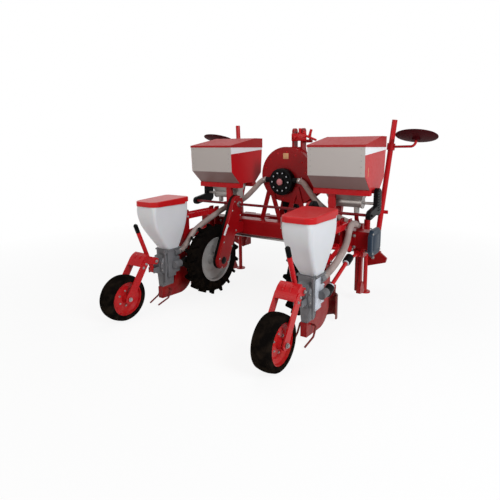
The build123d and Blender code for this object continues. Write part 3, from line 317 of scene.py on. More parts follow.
def effect_group(name, inputs, outputs, build):
    """Shader node group made once; inputs are (name, socket type, default) rows, outputs (name, socket type)."""
    if name in bpy.data.node_groups:
        return bpy.data.node_groups[name]
    tree = bpy.data.node_groups.new(name, "ShaderNodeTree")
    for label, kind, default in inputs:
        socket = tree.interface.new_socket(label, in_out="INPUT", socket_type="NodeSocket" + kind)
        if default is not None:
            socket.default_value = default
    for label, kind in outputs:
        tree.interface.new_socket(label, in_out="OUTPUT", socket_type="NodeSocket" + kind)
    shader = Shader(tree)
    source = tree.nodes.new("NodeGroupInput")
    sink = tree.nodes.new("NodeGroupOutput")
    for label, value in build(shader, source.outputs).items():
        tree.links.new(value, sink.inputs[label])
    return tree


SPECKLE_SCALE, PEEL_SCALE = 14.0, 60.0
BLOTCH_SPAN, SPECKLE_SPAN, PATCH_SPAN = (0.35, 0.65), (0.45, 0.75), (0.42, 0.72)
PATCH_SCALE = 16.0
BUMP_DISTANCE = 0.0006
DUST_ROUGHNESS, COAT_ROUGHNESS = 0.9, 0.12
SUBSURFACE_SCALE = 0.01


def build_tone(s, i):
    """Slow blotches, fine speckle and orange peel."""
    blotch = s.ramp(s.noise(i["Vector"], i["Scale"], 4.0), *BLOTCH_SPAN)
    speckle = s.ramp(s.noise(i["Vector"], s.math("MULTIPLY", i["Scale"], SPECKLE_SCALE), 2.0), *SPECKLE_SPAN)
    peel = s.noise(i["Vector"], s.math("MULTIPLY", i["Scale"], PEEL_SCALE), 1.0)
    return {"Blotch": blotch, "Speckle": speckle, "Peel": peel}


def tone_group():
    """Uneven tone shared by paint, plastic, rubber and metal."""
    return effect_group("Uneven Tone", [("Vector", "Vector", None), ("Scale", "Float", 4.0)],
                        [("Blotch", "Float"), ("Speckle", "Float"), ("Peel", "Float")], build_tone)


def build_dust(s, i):
    """Soil dust that thins out with height and gathers in patches."""
    split = s.add("SeparateXYZ", Vector=i["Vector"])
    low = s.ramp(split.outputs["Z"], 0.0, i["Reach"], 1.0, 0.0)
    patch = s.ramp(s.noise(i["Vector"], PATCH_SCALE, 5.0, 0.65), *PATCH_SPAN)
    mask = s.math("MULTIPLY", s.math("MULTIPLY", low, patch), i["Amount"], True)
    return {"Mask": mask}


def dust_group():
    """Dust mask shared by everything near the ground."""
    return effect_group("Field Dust", [("Vector", "Vector", None), ("Reach", "Float", 0.5), ("Amount", "Float", 0.3)],
                        [("Mask", "Float")], build_dust)


def finish(name, base, tint, scale, rough, metal=0.0, *, bump, dust, coat=0.0, reach=0.55, paint=None,
           subsurface=0.0, grain=None, shine=0.12):
    """Material with uneven tone, dust, roughness and bump.

    paint(shader, point, colour) may add a pattern and grain(shader, point, tone) another height for the bump.
    """
    if name in bpy.data.materials:
        return bpy.data.materials[name]
    colours = bpy.context.scene.planter_colours
    material = bpy.data.materials.new(name)
    material.use_nodes = True
    s = Shader(material.node_tree)
    point = s.add("TexCoord").outputs["Object"]
    tone = s.add("Group", node_tree=tone_group(), Vector=point, Scale=scale)
    soil = s.add("Group", node_tree=dust_group(), Vector=point, Reach=reach, Amount=dust)
    main = tuple(base)
    shade = tuple(c * tint for c in main[:3]) + (1.0,)
    mixed = s.mix(tone.outputs["Blotch"], main, shade)
    if paint:
        mixed = paint(s, point, mixed)
    dusted = s.mix(soil.outputs["Mask"], mixed, tuple(colours.dust))
    roughness = s.ramp(tone.outputs["Speckle"], 0.0, 1.0, *rough)
    roughness = s.math("MAXIMUM", roughness, s.math("MULTIPLY", soil.outputs["Mask"], DUST_ROUGHNESS))
    height = grain(s, point, tone) if grain else tone.outputs["Blotch"]
    relief = s.add("Bump", Strength=bump, Distance=BUMP_DISTANCE, Height=height)
    surface = s.add("BsdfPrincipled", Base_Color=dusted, Roughness=roughness, Metallic=metal, Coat_Weight=coat,
                    Coat_Roughness=COAT_ROUGHNESS, Subsurface_Weight=subsurface, Subsurface_Scale=SUBSURFACE_SCALE,
                    Specular_IOR_Level=shine, Normal=relief.outputs[0])
    s.add("OutputMaterial", Surface=surface.outputs[0])
    return material


def cast_grain(s, point, tone):
    """Sand-cast skin with small pits."""
    pits = s.add("TexVoronoi", Vector=point, Scale=260.0).outputs["Distance"]
    return s.math("ADD", s.math("MULTIPLY", pits, 0.7), tone.outputs["Speckle"])


def rubber_grain(s, point, tone):
    """Fine scuffed rubber with soft ribs."""
    ribs = s.add("TexWave", Vector=point, Scale=22.0, Distortion=0.6, Detail=1.0).outputs["Fac"]
    scuffs = s.math("ADD", tone.outputs["Peel"], s.math("MULTIPLY", tone.outputs["Speckle"], 0.6))
    return s.math("ADD", scuffs, s.math("MULTIPLY", ribs, 2.5))


def brushed_grain(s, point, tone):
    """Turned steel with fine rings."""
    rings = s.add("TexWave", Vector=point, Scale=60.0, Distortion=1.5, Detail=2.0).outputs["Fac"]
    return s.math("ADD", s.math("MULTIPLY", rings, 0.3), tone.outputs["Blotch"])


END_SKIN, TANK_FOOT = 0.0015, 0.004
BAND_REAR, BAND_FRONT = 0.062, 0.021
SLOPE_TOP, PANEL_FOOT = 0.110, 0.118


def tank_panels(s, point, mixed):
    """Red ends with a pale band, pale rear and front panels, and painted shade in a darker colour on the slopes under
    them.
    """
    colours = bpy.context.scene.planter_colours
    low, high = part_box("tank_right")
    split = s.add("SeparateXYZ", Vector=point)
    x = s.math("ABSOLUTE", split.outputs["X"])
    y, z = split.outputs["Y"], split.outputs["Z"]
    off_middle = s.math("ABSOLUTE", s.math("SUBTRACT", x, (low.x + high.x) / 2))
    end = s.math("GREATER_THAN", off_middle, (high.x - low.x) / 2 - END_SKIN)
    band_edge = s.ramp(y, low.y, high.y, high.z - BAND_REAR, high.z - BAND_FRONT)
    band = s.math("GREATER_THAN", z, band_edge)
    ends = s.mix(band, mixed, tuple(colours.stripe))
    # Painted shade: the sloped lower panels take the darker colour, blended in below the upright panels.
    upright = s.ramp(z, low.z + SLOPE_TOP, low.z + PANEL_FOOT)
    walls = s.mix(upright, tuple(colours.slope), tuple(colours.panel))
    base = s.math("LESS_THAN", z, low.z + TANK_FOOT)
    walls = s.mix(base, walls, mixed)
    return s.mix(end, walls, ends)


def finishes():
    """All materials by the name of their finish: colour, tint of the blotches, their scale, roughness, metal."""
    c = bpy.context.scene.planter_colours
    return {
        "red": finish("planter_red_paint", c.red, 0.86, 3.0, (0.24, 0.36), coat=0.03, bump=0.03, dust=0.2,
                      shine=0.14),
        # Darker red paint, partly painted shade.
        "dark_paint_and_shade": finish("planter_dark_red_paint_and_shade", c.dark_red_and_shade, 0.82, 3.5, (0.28, 0.42), coat=0.02, bump=0.03,
                       dust=0.2),
        "lid": finish("planter_lid_plastic", c.lid_red, 0.88, 4.0, (0.28, 0.36), coat=0.03, bump=0.04, dust=0.05,
                      shine=0.16),
        "tank_lid": finish("planter_tank_lid_paint", c.tank_lid, 0.9, 3.0, (0.42, 0.55), bump=0.03, dust=0.0),
        "maroon": finish("planter_maroon_paint", c.maroon, 0.7, 6.0, (0.34, 0.5), coat=0.1, bump=0.06, dust=0.4),
        "disc": finish("planter_disc_paint", c.disc, 0.7, 6.0, (0.5, 0.65), bump=0.06, dust=0.05, shine=0.02),
        "hopper": finish("planter_hopper_plastic", c.hopper, 0.95, 4.0, (0.32, 0.42), bump=0.05, dust=0.08,
                         subsurface=0.08),
        "tank": finish("planter_tank_sheet", c.red, 0.85, 2.5, (0.3, 0.4), coat=0.02, bump=0.03, dust=0.0,
                       paint=tank_panels),
        "casting": finish("planter_cast_aluminium", c.casting, 0.72, 9.0, (0.45, 0.6), 0.12, bump=0.5, dust=0.15,
                          grain=cast_grain),
        "zinc": finish("planter_zinc_plate", c.zinc, 0.78, 7.0, (0.38, 0.5), 0.5, bump=0.12, dust=0.1),
        "steel": finish("planter_bright_steel", c.steel, 0.75, 8.0, (0.3, 0.42), 0.85, bump=0.05, dust=0.15,
                        grain=brushed_grain),
        "rim": finish("planter_wheel_grey", c.rim, 0.85, 5.0, (0.3, 0.45), 0.15, bump=0.05, dust=0.35),
        "rubber": finish("planter_tyre_rubber", c.rubber, 0.8, 8.0, (0.55, 0.75), bump=0.25, dust=0.07, reach=0.7,
                         grain=rubber_grain, shine=0.0),
        "black": finish("planter_black_plastic", c.black, 0.7, 7.0, (0.36, 0.5), bump=0.1, dust=0.06, shine=0.06),
        "slate": finish("planter_slate_plastic", c.slate, 0.85, 6.0, (0.4, 0.5), bump=0.06, dust=0.05),
        # Pale metal, which also stands as painted light on the right meter cover.
        "pale": finish("planter_pale_metal_and_lit_casting", c.pale, 0.9, 8.0, (0.35, 0.5), 0.2, bump=0.05, dust=0.1),
        "cream": finish("planter_cream_plate", c.cream, 0.94, 8.0, (0.4, 0.5), bump=0.03, dust=0.0),
        "stripe": finish("planter_white_plate", c.stripe, 0.95, 8.0, (0.35, 0.45), bump=0.03, dust=0.02),
        "cap": finish("planter_fan_cap", c.cap, 0.9, 8.0, (0.4, 0.55), bump=0.05, dust=0.0),
        "hose": finish("planter_hose_plastic", c.hose, 0.82, 9.0, (0.42, 0.55), bump=0.08, dust=0.05),
    }


NODE_FINISH = {
    # Parts that sit in shadow take the darker red, which is partly painted shade.
    "dark_paint_and_shade": ("fan_housing", "fan_legs", "rear_toolbar", "front_beam", "frame_members", "unit_brackets",
             "unit_chassis", "hitch_mast", "lower_hitch_plates", "stand_sleeves", "marker_brackets",
             "fertilizer_openers", "furrow_openers", "chain_cases"),
    "lid": ("hopper_lid_left", "hopper_lid_right"),
    "tank_lid": ("tank_lid_left", "tank_lid_right"),
    "hopper": ("hopper_left", "hopper_right"),
    "tank": ("tank_left", "tank_right"),
    "casting": ("seed_meters",),
    "zinc": ("fertilizer_meters",),
    "steel": ("seed_shaft", "lower_hitch_pins", "pto_shaft", "press_axles"),
    "rim": ("drive_rim_left", "drive_rim_right"),
    "rubber": ("drive_tyre_left", "drive_tyre_right", "press_tyre_left", "press_tyre_right"),
    "black": ("fan_manifold", "chain_case_backs", "depth_handles", "meter_chain_guards", "belt_guard",
              "toolbar_caps"),
    "slate": ("gear_guard",),
    "hose": ("vacuum_hose_left", "vacuum_hose_right"),
    "maroon": ("covering_tines", "clod_deflectors", "cross_shaft"),
    "disc": ("marker_disc_left", "marker_disc_right"),
}


class PLANTER_OT_finishes(bpy.types.Operator):
    """Give every solid of the planter its finish"""
    bl_idname = "planter.finishes"
    bl_label = "Finishes"

    def execute(self, context):
        made = finishes()
        chosen = {node: kind for kind, names in NODE_FINISH.items() for node in names}
        for name, node in NODES.items():
            node.data.materials.clear()
            node.data.materials.append(made[chosen.get(name, "red")])
        return {"FINISHED"}


# Control points of each hose, from the fan to the seed meter.
HOSE_ROUTES = {
    "left": ((-170, 427.5, 1045), (-215, 427.5, 1045), (-300, 407, 948), (-400, 388, 850), (-540, 386, 782),
             (-612, 384, 766), (-608, -110, 615), (-608, -200, 520), (-640, -245, 440), (-640, -305, 440)),
    "right": ((170, 427.5, 1045), (215, 427.5, 1045), (300, 407, 948), (400, 388, 850), (545, 386, 760),
              (792, 386, 688), (788, 150, 775), (786, 70, 590), (790, -150, 500), (760, -245, 440), (760, -305, 440)),
}
CUFF_STEPS, CLAMP_STEP = 8, 4
RIB_DEPTH = 3.4


class PLANTER_OT_hoses(bpy.types.Operator):
    """Ribbed vacuum hoses with their clamps, from the fan to the seed meters"""
    bl_idname = "planter.hoses"
    bl_label = "Vacuum hoses"

    def execute(self, context):
        kinds = finishes()
        sizes = context.scene.planter_sizes
        radius = sizes.hose_radius / MM
        pitch = sizes.hose_pitch / MM
        for side, points in HOSE_ROUTES.items():
            steps = evenly(route(points), pitch / 2)
            made = bmesh.new()
            stations = []
            for index, (centre, along) in enumerate(steps):
                cuff = index < CUFF_STEPS or index >= len(steps) - CUFF_STEPS
                stations.append((centre, along, radius if cuff or index % 2 else radius - RIB_DEPTH))
            tube(made, stations, 20)
            hose = new_piece(f"ribbed_hose_{side}", made, kinds["hose"], smooth=70)
            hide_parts(f"vacuum_hose_{side}")
            clamps = bmesh.new()
            for centre, along in (steps[CLAMP_STEP], steps[-1 - CLAMP_STEP]):
                spun(clamps, ((radius, -6), (radius + 2, -6), (radius + 2, 6), (radius, 6)), centre, along, 24)
                across = along.orthogonal().normalized()
                screw = along.cross(across)
                tube(clamps, [(centre + across * (radius + 4) * MM + screw * step * MM, screw, 4.5)
                              for step in (-9, -8, 8, 9)], 8)
            new_piece(f"hose_clamps_{side}", clamps, kinds["steel"])
        return {"FINISHED"}


# Height, rear, front, half width at the rear and half width at the front of each level of a hopper.
HOPPER_LEVELS = ((885, -596, -222, 112, 132), (800, -594, -228, 110, 134), (700, -568, -240, 100, 124),
                 (600, -508, -255, 84, 100), (480.3, -424, -288, 64, 72))
HOPPER_WALL = 4
FRONT_CORNER, REAR_CORNER, RIM_ROUNDING = 28, 26, 20
LID_HINGE = (-203, 892.3)


def hopper_level(share):
    """Level of the hopper between its top, 0, and its foot, 1, on a curve through the table's rows."""
    place = share * (len(HOPPER_LEVELS) - 1)
    index = min(int(place), len(HOPPER_LEVELS) - 2)
    t = place - index
    last = len(HOPPER_LEVELS) - 1
    before, start, end, after = (HOPPER_LEVELS[min(max(index + i, 0), last)] for i in (-1, 0, 1, 2))
    return [b + 0.5 * t * (c - a + t * (2 * a - 5 * b + 4 * c - d + t * (3 * (b - c) + d - a)))
            for a, b, c, d in zip(before, start, end, after)]


def hopper_ring(made, row, level, rear_corner, wall, keep_face):
    """Rounded ring of the hopper at one level, set in by the wall; returns its edges."""
    z, rear, front, half_rear, half_front = level
    verts = bmesh.ops.create_grid(made, x_segments=1, y_segments=1, size=1.0)["verts"]
    behind = [vert for vert in verts if vert.co.y < 0]
    ahead = [vert for vert in verts if vert.co.y > 0]
    for vert in behind:
        vert.co = spot(row + (half_rear - wall) * (1 if vert.co.x > 0 else -1), rear + wall, z)
    for vert in ahead:
        vert.co = spot(row + (half_front - wall) * (1 if vert.co.x > 0 else -1), front - wall, z)
    for corners, radius in ((behind, rear_corner), (ahead, FRONT_CORNER)):
        rounded = bmesh.ops.bevel(made, geom=corners, offset=(radius - wall) * MM, segments=9, profile=0.5,
                                  affect="VERTICES", material=-1)
    face = rounded["verts"][0].link_faces[0]
    edges = list(face.edges)
    if not keep_face:
        bmesh.ops.delete(made, geom=[face], context="FACES_ONLY")
    return edges


class PLANTER_OT_hoppers(bpy.types.Operator):
    """Smooth moulded seed hoppers with hinge lugs and side latches"""
    bl_idname = "planter.hoppers"
    bl_label = "Seed hoppers"

    def execute(self, context):
        kinds = finishes()
        count = context.scene.planter_sizes.hopper_rings
        for side, row in ROWS.items():
            made = bmesh.new()
            down = [i / count for i in range(count + 1)]
            rings = [(share, 0) for share in reversed(down)] + [(share, HOPPER_WALL) for share in down]
            last = None
            for index, (share, wall) in enumerate(rings):
                level = hopper_level(share)
                if index == len(rings) - 1:
                    level[0] += HOPPER_WALL
                rear_corner = REAR_CORNER + RIM_ROUNDING * max(0.0, 1 - 6 * share)
                edges = hopper_ring(made, row, level, rear_corner, wall, index in (0, len(rings) - 1))
                if last:
                    bmesh.ops.bridge_loops(made, edges=last + edges)
                last = edges
            shell = new_piece(f"hopper_shell_{side}", made, kinds["hopper"], smooth=50)
            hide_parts(f"hopper_{side}")

            lugs = bmesh.new()
            for x in (-83, -40, 37, 80):
                slab(lugs, (row + x, -226, 858), (row + x + 4, -209, 884), 1)
                slab(lugs, (row + x, -212, 858), (row + x + 4, -197, 896), 1)
            for x in (-85, 35):
                slab(lugs, (row + x, -231, 846), (row + x + 50, -224, 872), 1.5)
                for step in (12, 38):
                    bolt(lugs, (row + x + step, -224, 859), AHEAD, 4)
            for x in (-86, -35, 34, 85):
                straight(lugs, (row + x - 2, *LID_HINGE), (row + x + 2, *LID_HINGE), 3)
            new_piece(f"hopper_lugs_{side}", lugs, kinds["steel"])

            latch = bmesh.new()
            slab(latch, (row - 124, -556, 806), (row - 112, -532, 848), 1.5)
            for y in (-552, -536):
                straight(latch, (row - 130, y, 816), (row - 131, y, 890), 2.2, 8)
            straight(latch, (row - 131, -556, 889), (row - 131, -532, 889), 2.2, 8)
            straight(latch, (row - 130, -557, 818), (row - 130, -531, 818), 3.4, 8)
            new_piece(f"hopper_latch_{side}", latch, kinds["steel"])
            keeper = bmesh.new()
            slab(keeper, (row - 130, -551, 876), (row - 124, -537, 885), 1)
            new_piece(f"lid_keeper_{side}", keeper, kinds["steel"], f"hopper_lid_{side}")
        return {"FINISHED"}


METER_Y, METER_Z, METER_FACE = -404, 345, 58
COVER_BOLTS = ((71, -424, 248), (71, -352, 248), (71, -424, 455), (71, -352, 455), (69, -300, 270), (69, -300, 390))
SHAFT_ASIDE = 92
SHAFT_TOP, SHAFT_FOOT = (100, 478), (-270, 342)
BOOT = ((17, -48), (22, -48), (25, -43), (32, -37), (30, -31), (33, -25), (31.6, -19), (33, -13), (31.6, -6), (33, 0),
        (31.6, 6), (33, 13), (31.6, 19), (33, 25), (30, 31), (32, 37), (25, 43), (22, 48), (17, 48))


class PLANTER_OT_meters(bpy.types.Operator):
    """Bolts and covers of the seed meters, with the boots and rings of their drive shafts"""
    bl_idname = "planter.meters"
    bl_label = "Seed meters"

    def execute(self, context):
        kinds = finishes()
        for side, row in ROWS.items():
            made = bmesh.new()
            for y, z in around(10, 91, 18):
                for face in (-1, 1):
                    bolt(made, (row + face * METER_FACE, METER_Y + y, METER_Z + z), (face, 0, 0), 5.5)
            for x in (-70, 70):
                for y in (-420, -294):
                    bolt(made, (row + x, y, 480), UP, 6)
            new_piece(f"meter_bolts_{side}", made, kinds["steel"])

            cover = bmesh.new()
            slab(cover, (row + 59, -432, 236), (row + 71, -342, 464), 4)
            slab(cover, (row + 59, -346, 262), (row + 69, -292, 400), 4)
            slab(cover, (row + 68, -428, 300), (row + 74, -414, 460), 2)
            for x, y, z in COVER_BOLTS:
                bolt(cover, (row + x, y, z), RIGHT, 4.5)
            # The right cover takes the pale colour as painted light on the lit side; the same cover on the left keeps
            # the casting grey.
            new_piece(f"meter_cover_{side}", cover, kinds["pale" if side == "right" else "casting"])

            along = spot(0, SHAFT_FOOT[0] - SHAFT_TOP[0], SHAFT_FOOT[1] - SHAFT_TOP[1]).normalized()
            boots, rings = bmesh.new(), bmesh.new()
            for joint, step in ((SHAFT_TOP, 50), (SHAFT_FOOT, -50)):
                centre = spot(row + SHAFT_ASIDE, *joint)
                spun(boots, BOOT, centre, along, 24)
                spun(rings, ((15, -6), (24, -6), (25, -4), (25, 4), (24, 6), (15, 6)), centre + along * step * MM,
                     along, 24)
            new_piece(f"shaft_boots_{side}", boots, kinds["black"], smooth=60)
            new_piece(f"shaft_rings_{side}", rings, kinds["pale"])
        return {"FINISHED"}


PRESS_Y, PRESS_Z = -855, 180
DEPTH_FOOT, DEPTH_TOP = (0, -543, 322), (0, -673, 669)
GRIP_RIBS, GRIP_PITCH = 6, 11


class PLANTER_OT_row_units(bpy.types.Operator):
    """Pins, clamp bolts, depth grips and press-wheel fastenings of the row units"""
    bl_idname = "planter.row_units"
    bl_label = "Row units"

    def execute(self, context):
        kinds = finishes()
        grips = bmesh.new()
        top = spot(*DEPTH_TOP)
        lean = (top - spot(*DEPTH_FOOT)).normalized()
        profile = [(0, 0.5), (14, 0.5)]
        for rib in range(GRIP_RIBS):
            up = GRIP_PITCH * rib
            profile += [(14, 4 + up), (17.5, 6 + up), (17.5, 11 + up), (14, 13 + up)]
        profile += [(14, 70), (10, 76), (0, 78)]
        for row in ROWS.values():
            spun(grips, profile, top + spot(row, 0, 0), lean, 20)
        grip = new_piece("depth_grips", grips, kinds["black"], smooth=50)
        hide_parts("depth_handles")
        for side, row in ROWS.items():
            made = bmesh.new()
            for face in (-1, 1):
                for y in (-160, 270):
                    for z in (730, 520):
                        bolt(made, (row + face * 58.3, y, z), (face, 0, 0), 9)
                bolt(made, (row + face * 92, PRESS_Y, PRESS_Z), (face, 0, 0), 13)
                bolt(made, (row + face * 38, -530, 402), (face, 0, 0), 11)
                for z in (532, 628):
                    bolt(made, (row + face * 60, 303, z), REAR, 11)
                for y, z in ((-678, 420), (-706, 396)):
                    bolt(made, (row + face * 84, y, z), (face, 0, 0), 8)
            new_piece(f"unit_fastenings_{side}", made, kinds["steel"])
            wheel = bmesh.new()
            for face in (-1, 1):
                for y, z in around(6, 58, 30):
                    bolt(wheel, (row + face * 29, PRESS_Y + y, PRESS_Z + z), (face, 0, 0), 7)
            new_piece(f"press_wheel_bolts_{side}", wheel, kinds["steel"], f"press_wheel_{side}")
        return {"FINISHED"}


CASE_FOOT, CASE_HEAD = Vector((5.0, 322.0)), Vector((245.0, 815.0))
CASE_INNER, CASE_OUTER, CASE_BOLTS_ASIDE = 370, 430, 66
MARK_LEAN = -0.547


class PLANTER_OT_drives(bpy.types.Operator):
    """Wheel nuts, chain-case bolts, collars and caps, and chain-guard ribs of the ground drive"""
    bl_idname = "planter.drives"
    bl_label = "Ground drive"

    def execute(self, context):
        kinds = finishes()
        run = (CASE_HEAD - CASE_FOOT).normalized()
        aside = Vector((-run.y, run.x))
        for side, sign in SIDES.items():
            nuts = bmesh.new()
            for y, z in around(6, 85):
                bolt(nuts, (sign * 529, CASE_FOOT.x + y, CASE_FOOT.y + z), (sign, 0, 0), 11)
            new_piece(f"wheel_nuts_{side}", nuts, kinds["steel"], f"drive_wheel_{side}")
            case = bmesh.new()
            for share in (0.0, 0.28, 0.56, 0.84, 1.0):
                for edge in (-1, 1):
                    at = CASE_FOOT + (CASE_HEAD - CASE_FOOT) * share + aside * CASE_BOLTS_ASIDE * edge
                    bolt(case, (sign * CASE_INNER, at.x, at.y), (-sign, 0, 0), 6)
                    bolt(case, (sign * CASE_OUTER, at.x, at.y), (sign, 0, 0), 6)
            for at in (CASE_FOOT - run * CASE_BOLTS_ASIDE, CASE_HEAD + run * CASE_BOLTS_ASIDE):
                bolt(case, (sign * CASE_INNER, at.x, at.y), (-sign, 0, 0), 6)
            for x, out in ((CASE_INNER, -sign), (CASE_OUTER, sign)):
                spun(case, ((13, 0), (27, 0), (27, 12), (24, 14), (13, 14)), spot(sign * x, *CASE_HEAD), (out, 0, 0),
                     24)
            bolt(case, (sign * 580, *CASE_FOOT), (sign, 0, 0), 18)
            new_piece(f"chain_case_bolts_{side}", case, kinds["steel"])
            cap = bmesh.new()
            spun(cap, ((0, 10), (20, 10), (30, 6), (34, 0), (0, 0)), spot(sign * CASE_INNER, *CASE_FOOT),
                 (-sign, 0, 0), 28)
            new_piece(f"chain_case_cap_{side}", cap, kinds["black"])
            guard = bmesh.new()
            low, high = sorted((sign * 919, sign * 925))
            for z in range(830, 985, 22):
                slab(guard, (low, 402, z), (high, 478, z + 9), 2)
            bolt(guard, (sign * 920, 245, 815), (sign, 0, 0), 10)
            new_piece(f"chain_guard_ribs_{side}", guard, kinds["black"])
        plate = bmesh.new()
        turn = Matrix.Rotation(MARK_LEAN, 3, "X")
        slab(plate, (-370.5, 36, 545), (-368.6, 60, 655), 0.5, turn, (-370, 48, 600))
        new_piece("chain_case_mark", plate, kinds["stripe"])
        return {"FINISHED"}


TANK_X, TANK_REAR = 635, 165


class PLANTER_OT_tanks(bpy.types.Operator):
    """Hinge leaves, rivets and meter bolts of the fertilizer tanks, and the blank plates"""
    bl_idname = "planter.tanks"
    bl_label = "Fertilizer tanks"

    def execute(self, context):
        kinds = finishes()
        for side, sign in SIDES.items():
            leaves = bmesh.new()
            for step in (-147, 147):
                x = sign * TANK_X + step
                slab(leaves, (x - 24, 686, 1296), (x + 24, 690, 1334), 1)
                for z in (1306, 1324):
                    for dx in (-14, 14):
                        bolt(leaves, (x + dx, 690, z), AHEAD, 4)
            for x in (420, 850):
                for z in range(1150, 1331, 45):
                    spun(leaves, ((0, 2.4), (2.5, 1.8), (4, 0), (0, 0)), spot(sign * x, TANK_REAR, z), REAR, 10)
            for x in (500, 590, 680, 770):
                bolt(leaves, (sign * x, 388, 905), REAR, 5)
            bolt(leaves, (sign * 785, 430, 885), (sign, 0, 0), 10)
            new_piece(f"tank_fittings_{side}", leaves, kinds["steel"])
        strip = bmesh.new()
        slab(strip, (879.5, 240, 1116), (881.2, 247, 1186), 0.5)
        slab(strip, (-5, 456.5, 1240), (51, 460.5, 1292), 0.8)
        new_piece("blank_plates", strip, kinds["cream"])
        return {"FINISHED"}


FAN_Z = 1030
PORTS, SCROLL_BOLTS = 10, 14
SCROLL_X, SCROLL_Z = 13, 1086


class PLANTER_OT_fan(bpy.types.Operator):
    """Centre cap, port plugs and case bolts of the vacuum fan"""
    bl_idname = "planter.fan"
    bl_label = "Vacuum fan"

    def execute(self, context):
        kinds = finishes()
        cap = bmesh.new()
        spun(cap, ((0, 14), (14, 13), (25, 8), (31, 0), (0, 0)), spot(0, 381, FAN_Z), REAR, 28)
        new_piece("fan_centre_cap", cap, kinds["cap"])
        plugs = bmesh.new()
        for x, z in around(PORTS, 84):
            spun(plugs, ((0, 3), (6, 3), (8, 0), (0, 0)), spot(x, 388, FAN_Z + z), REAR, 14)
        new_piece("fan_port_plugs", plugs, kinds["pale"])
        bolts = bmesh.new()
        for x, z in around(SCROLL_BOLTS, 216, 8):
            bolt(bolts, (SCROLL_X + x, 460, SCROLL_Z + z), REAR, 6.5)
        new_piece("fan_case_bolts", bolts, kinds["red"])
        return {"FINISHED"}


MARKER_X, PIN_X, STAND_X = 770, 497, 722
DISC_X, DISC_Y, DISC_Z, DISC_TILT = 1089, 860, 1422, radians(17)
VALVE_Y, VALVE_TOP = 705, 1477


def clip_ring(made, inner, outer, centre, steps):
    """Flat ring of a pin's clip, its axis across the machine."""
    spun(made, ((inner, -2), (outer, -2), (outer, 2), (inner, 2), (inner, -2)), spot(*centre), RIGHT, steps)


class PLANTER_OT_frame_fittings(bpy.types.Operator):
    """Fastenings of the gear guard, hitch, markers and stands, and the valve at the top of the mast"""
    bl_idname = "planter.frame_fittings"
    bl_label = "Frame fittings"

    def execute(self, context):
        kinds = finishes()
        made = bmesh.new()
        for y, z in ((268, 505), (456, 505), (268, 661), (456, 661)):
            bolt(made, (930, y, z), RIGHT, 7)
        for sign in SIDES.values():
            for x in (-24, 24):
                bolt(made, (sign * 545 + x, 320, 1003), UP, 7)
            bolt(made, (sign * MARKER_X, 902, 330), AHEAD, 13)
            bolt(made, (sign * MARKER_X, 790, 330), REAR, 13)
            straight(made, (sign * PIN_X, 870, 444), (sign * PIN_X, 870, 500), 4)
            clip_ring(made, 20, 24, (sign * PIN_X, 892, 500), 20)
            for face in (-1, 1):
                x = sign * STAND_X
                straight(made, (x + face * 27, 740, 610), (x + face * 46, 740, 610), 6)
            clip_ring(made, 15, 18.5, (sign * STAND_X + 43, 740, 594), 18)
        new_piece("frame_bolts", made, kinds["steel"])
        valve = bmesh.new()
        slab(valve, (-50, 690, 1406), (104, 720, 1478), 6)
        for x, tall in ((37, 50), (84, 26)):
            knob = ((0, tall), (10, tall), (13, tall - 3), (13, 14), (19, 11), (19, 0), (0, 0))
            spun(valve, knob, spot(x, VALVE_Y, VALVE_TOP), UP, 20)
        straight(valve, (98, VALVE_Y, 1456), (212, VALVE_Y, 1412), 11)
        straight(valve, (134, VALVE_Y, 1436), (160, VALVE_Y, 1514), 13)
        straight(valve, (-8, 692, 1440), (-8, 676, 1440), 15)
        for x in (-36, 22, 90):
            bolt(valve, (x, 690, 1442), REAR, 8)
        new_piece("mast_valve", valve, kinds["red"])
        guard = bmesh.new()
        slab(guard, (929, 290, 520), (932.5, 434, 646), 3)
        new_piece("gear_guard_panel", guard, kinds["slate"])
        axis = Vector((0, sin(DISC_TILT), cos(DISC_TILT)))
        for side, sign in SIDES.items():
            centre = spot(sign * DISC_X, DISC_Y, DISC_Z)
            disc = bmesh.new()
            for x, y in around(4, 25, 45):
                bolt(disc, (centre + turned_to(axis) @ spot(x, y, 12)) / MM, axis, 4.5)
            new_piece(f"marker_disc_bolts_{side}", disc, kinds["steel"], f"marker_disc_{side}")
            stem = bmesh.new()
            bolt(stem, (centre + axis * 14 * MM) / MM, axis, 11)
            new_piece(f"marker_stem_nut_{side}", stem, kinds["steel"], f"marker_arm_{side}")
        return {"FINISHED"}


FLOOR_HALF = 40
FADE_START, FADE_END = 1.6, 4.5
WHITE_NEAR, WHITE_FAR = 0.88, 1.0
SKY_LIGHT, SKY_SHOWN = 0.2, 1.0
# Name, place, size, power and tint of each lamp.
LAMPS = (
    ("key_light", (4.2, -1.5, 3.2), 2.4, 150.0, (0.94, 0.97, 1.0)),
    ("fill_light", (-1.2, -4.2, 2.2), 3.0, 54.0, (1.0, 0.94, 0.88)),
    ("top_light", (-0.6, 0.6, 4.6), 3.0, 38.0, (1.0, 1.0, 1.0)),
)
LAMP_AIM = Vector((0.0, 0.0, 0.7))
CAMERA_PLACE = (1.894, -2.799, 1.344)
CAMERA_TURN = (radians(80.73), radians(0.18), radians(32.1))
CAMERA_SHIFT = (-0.0401, -0.0737)
SENSOR_WIDTH = 36.0


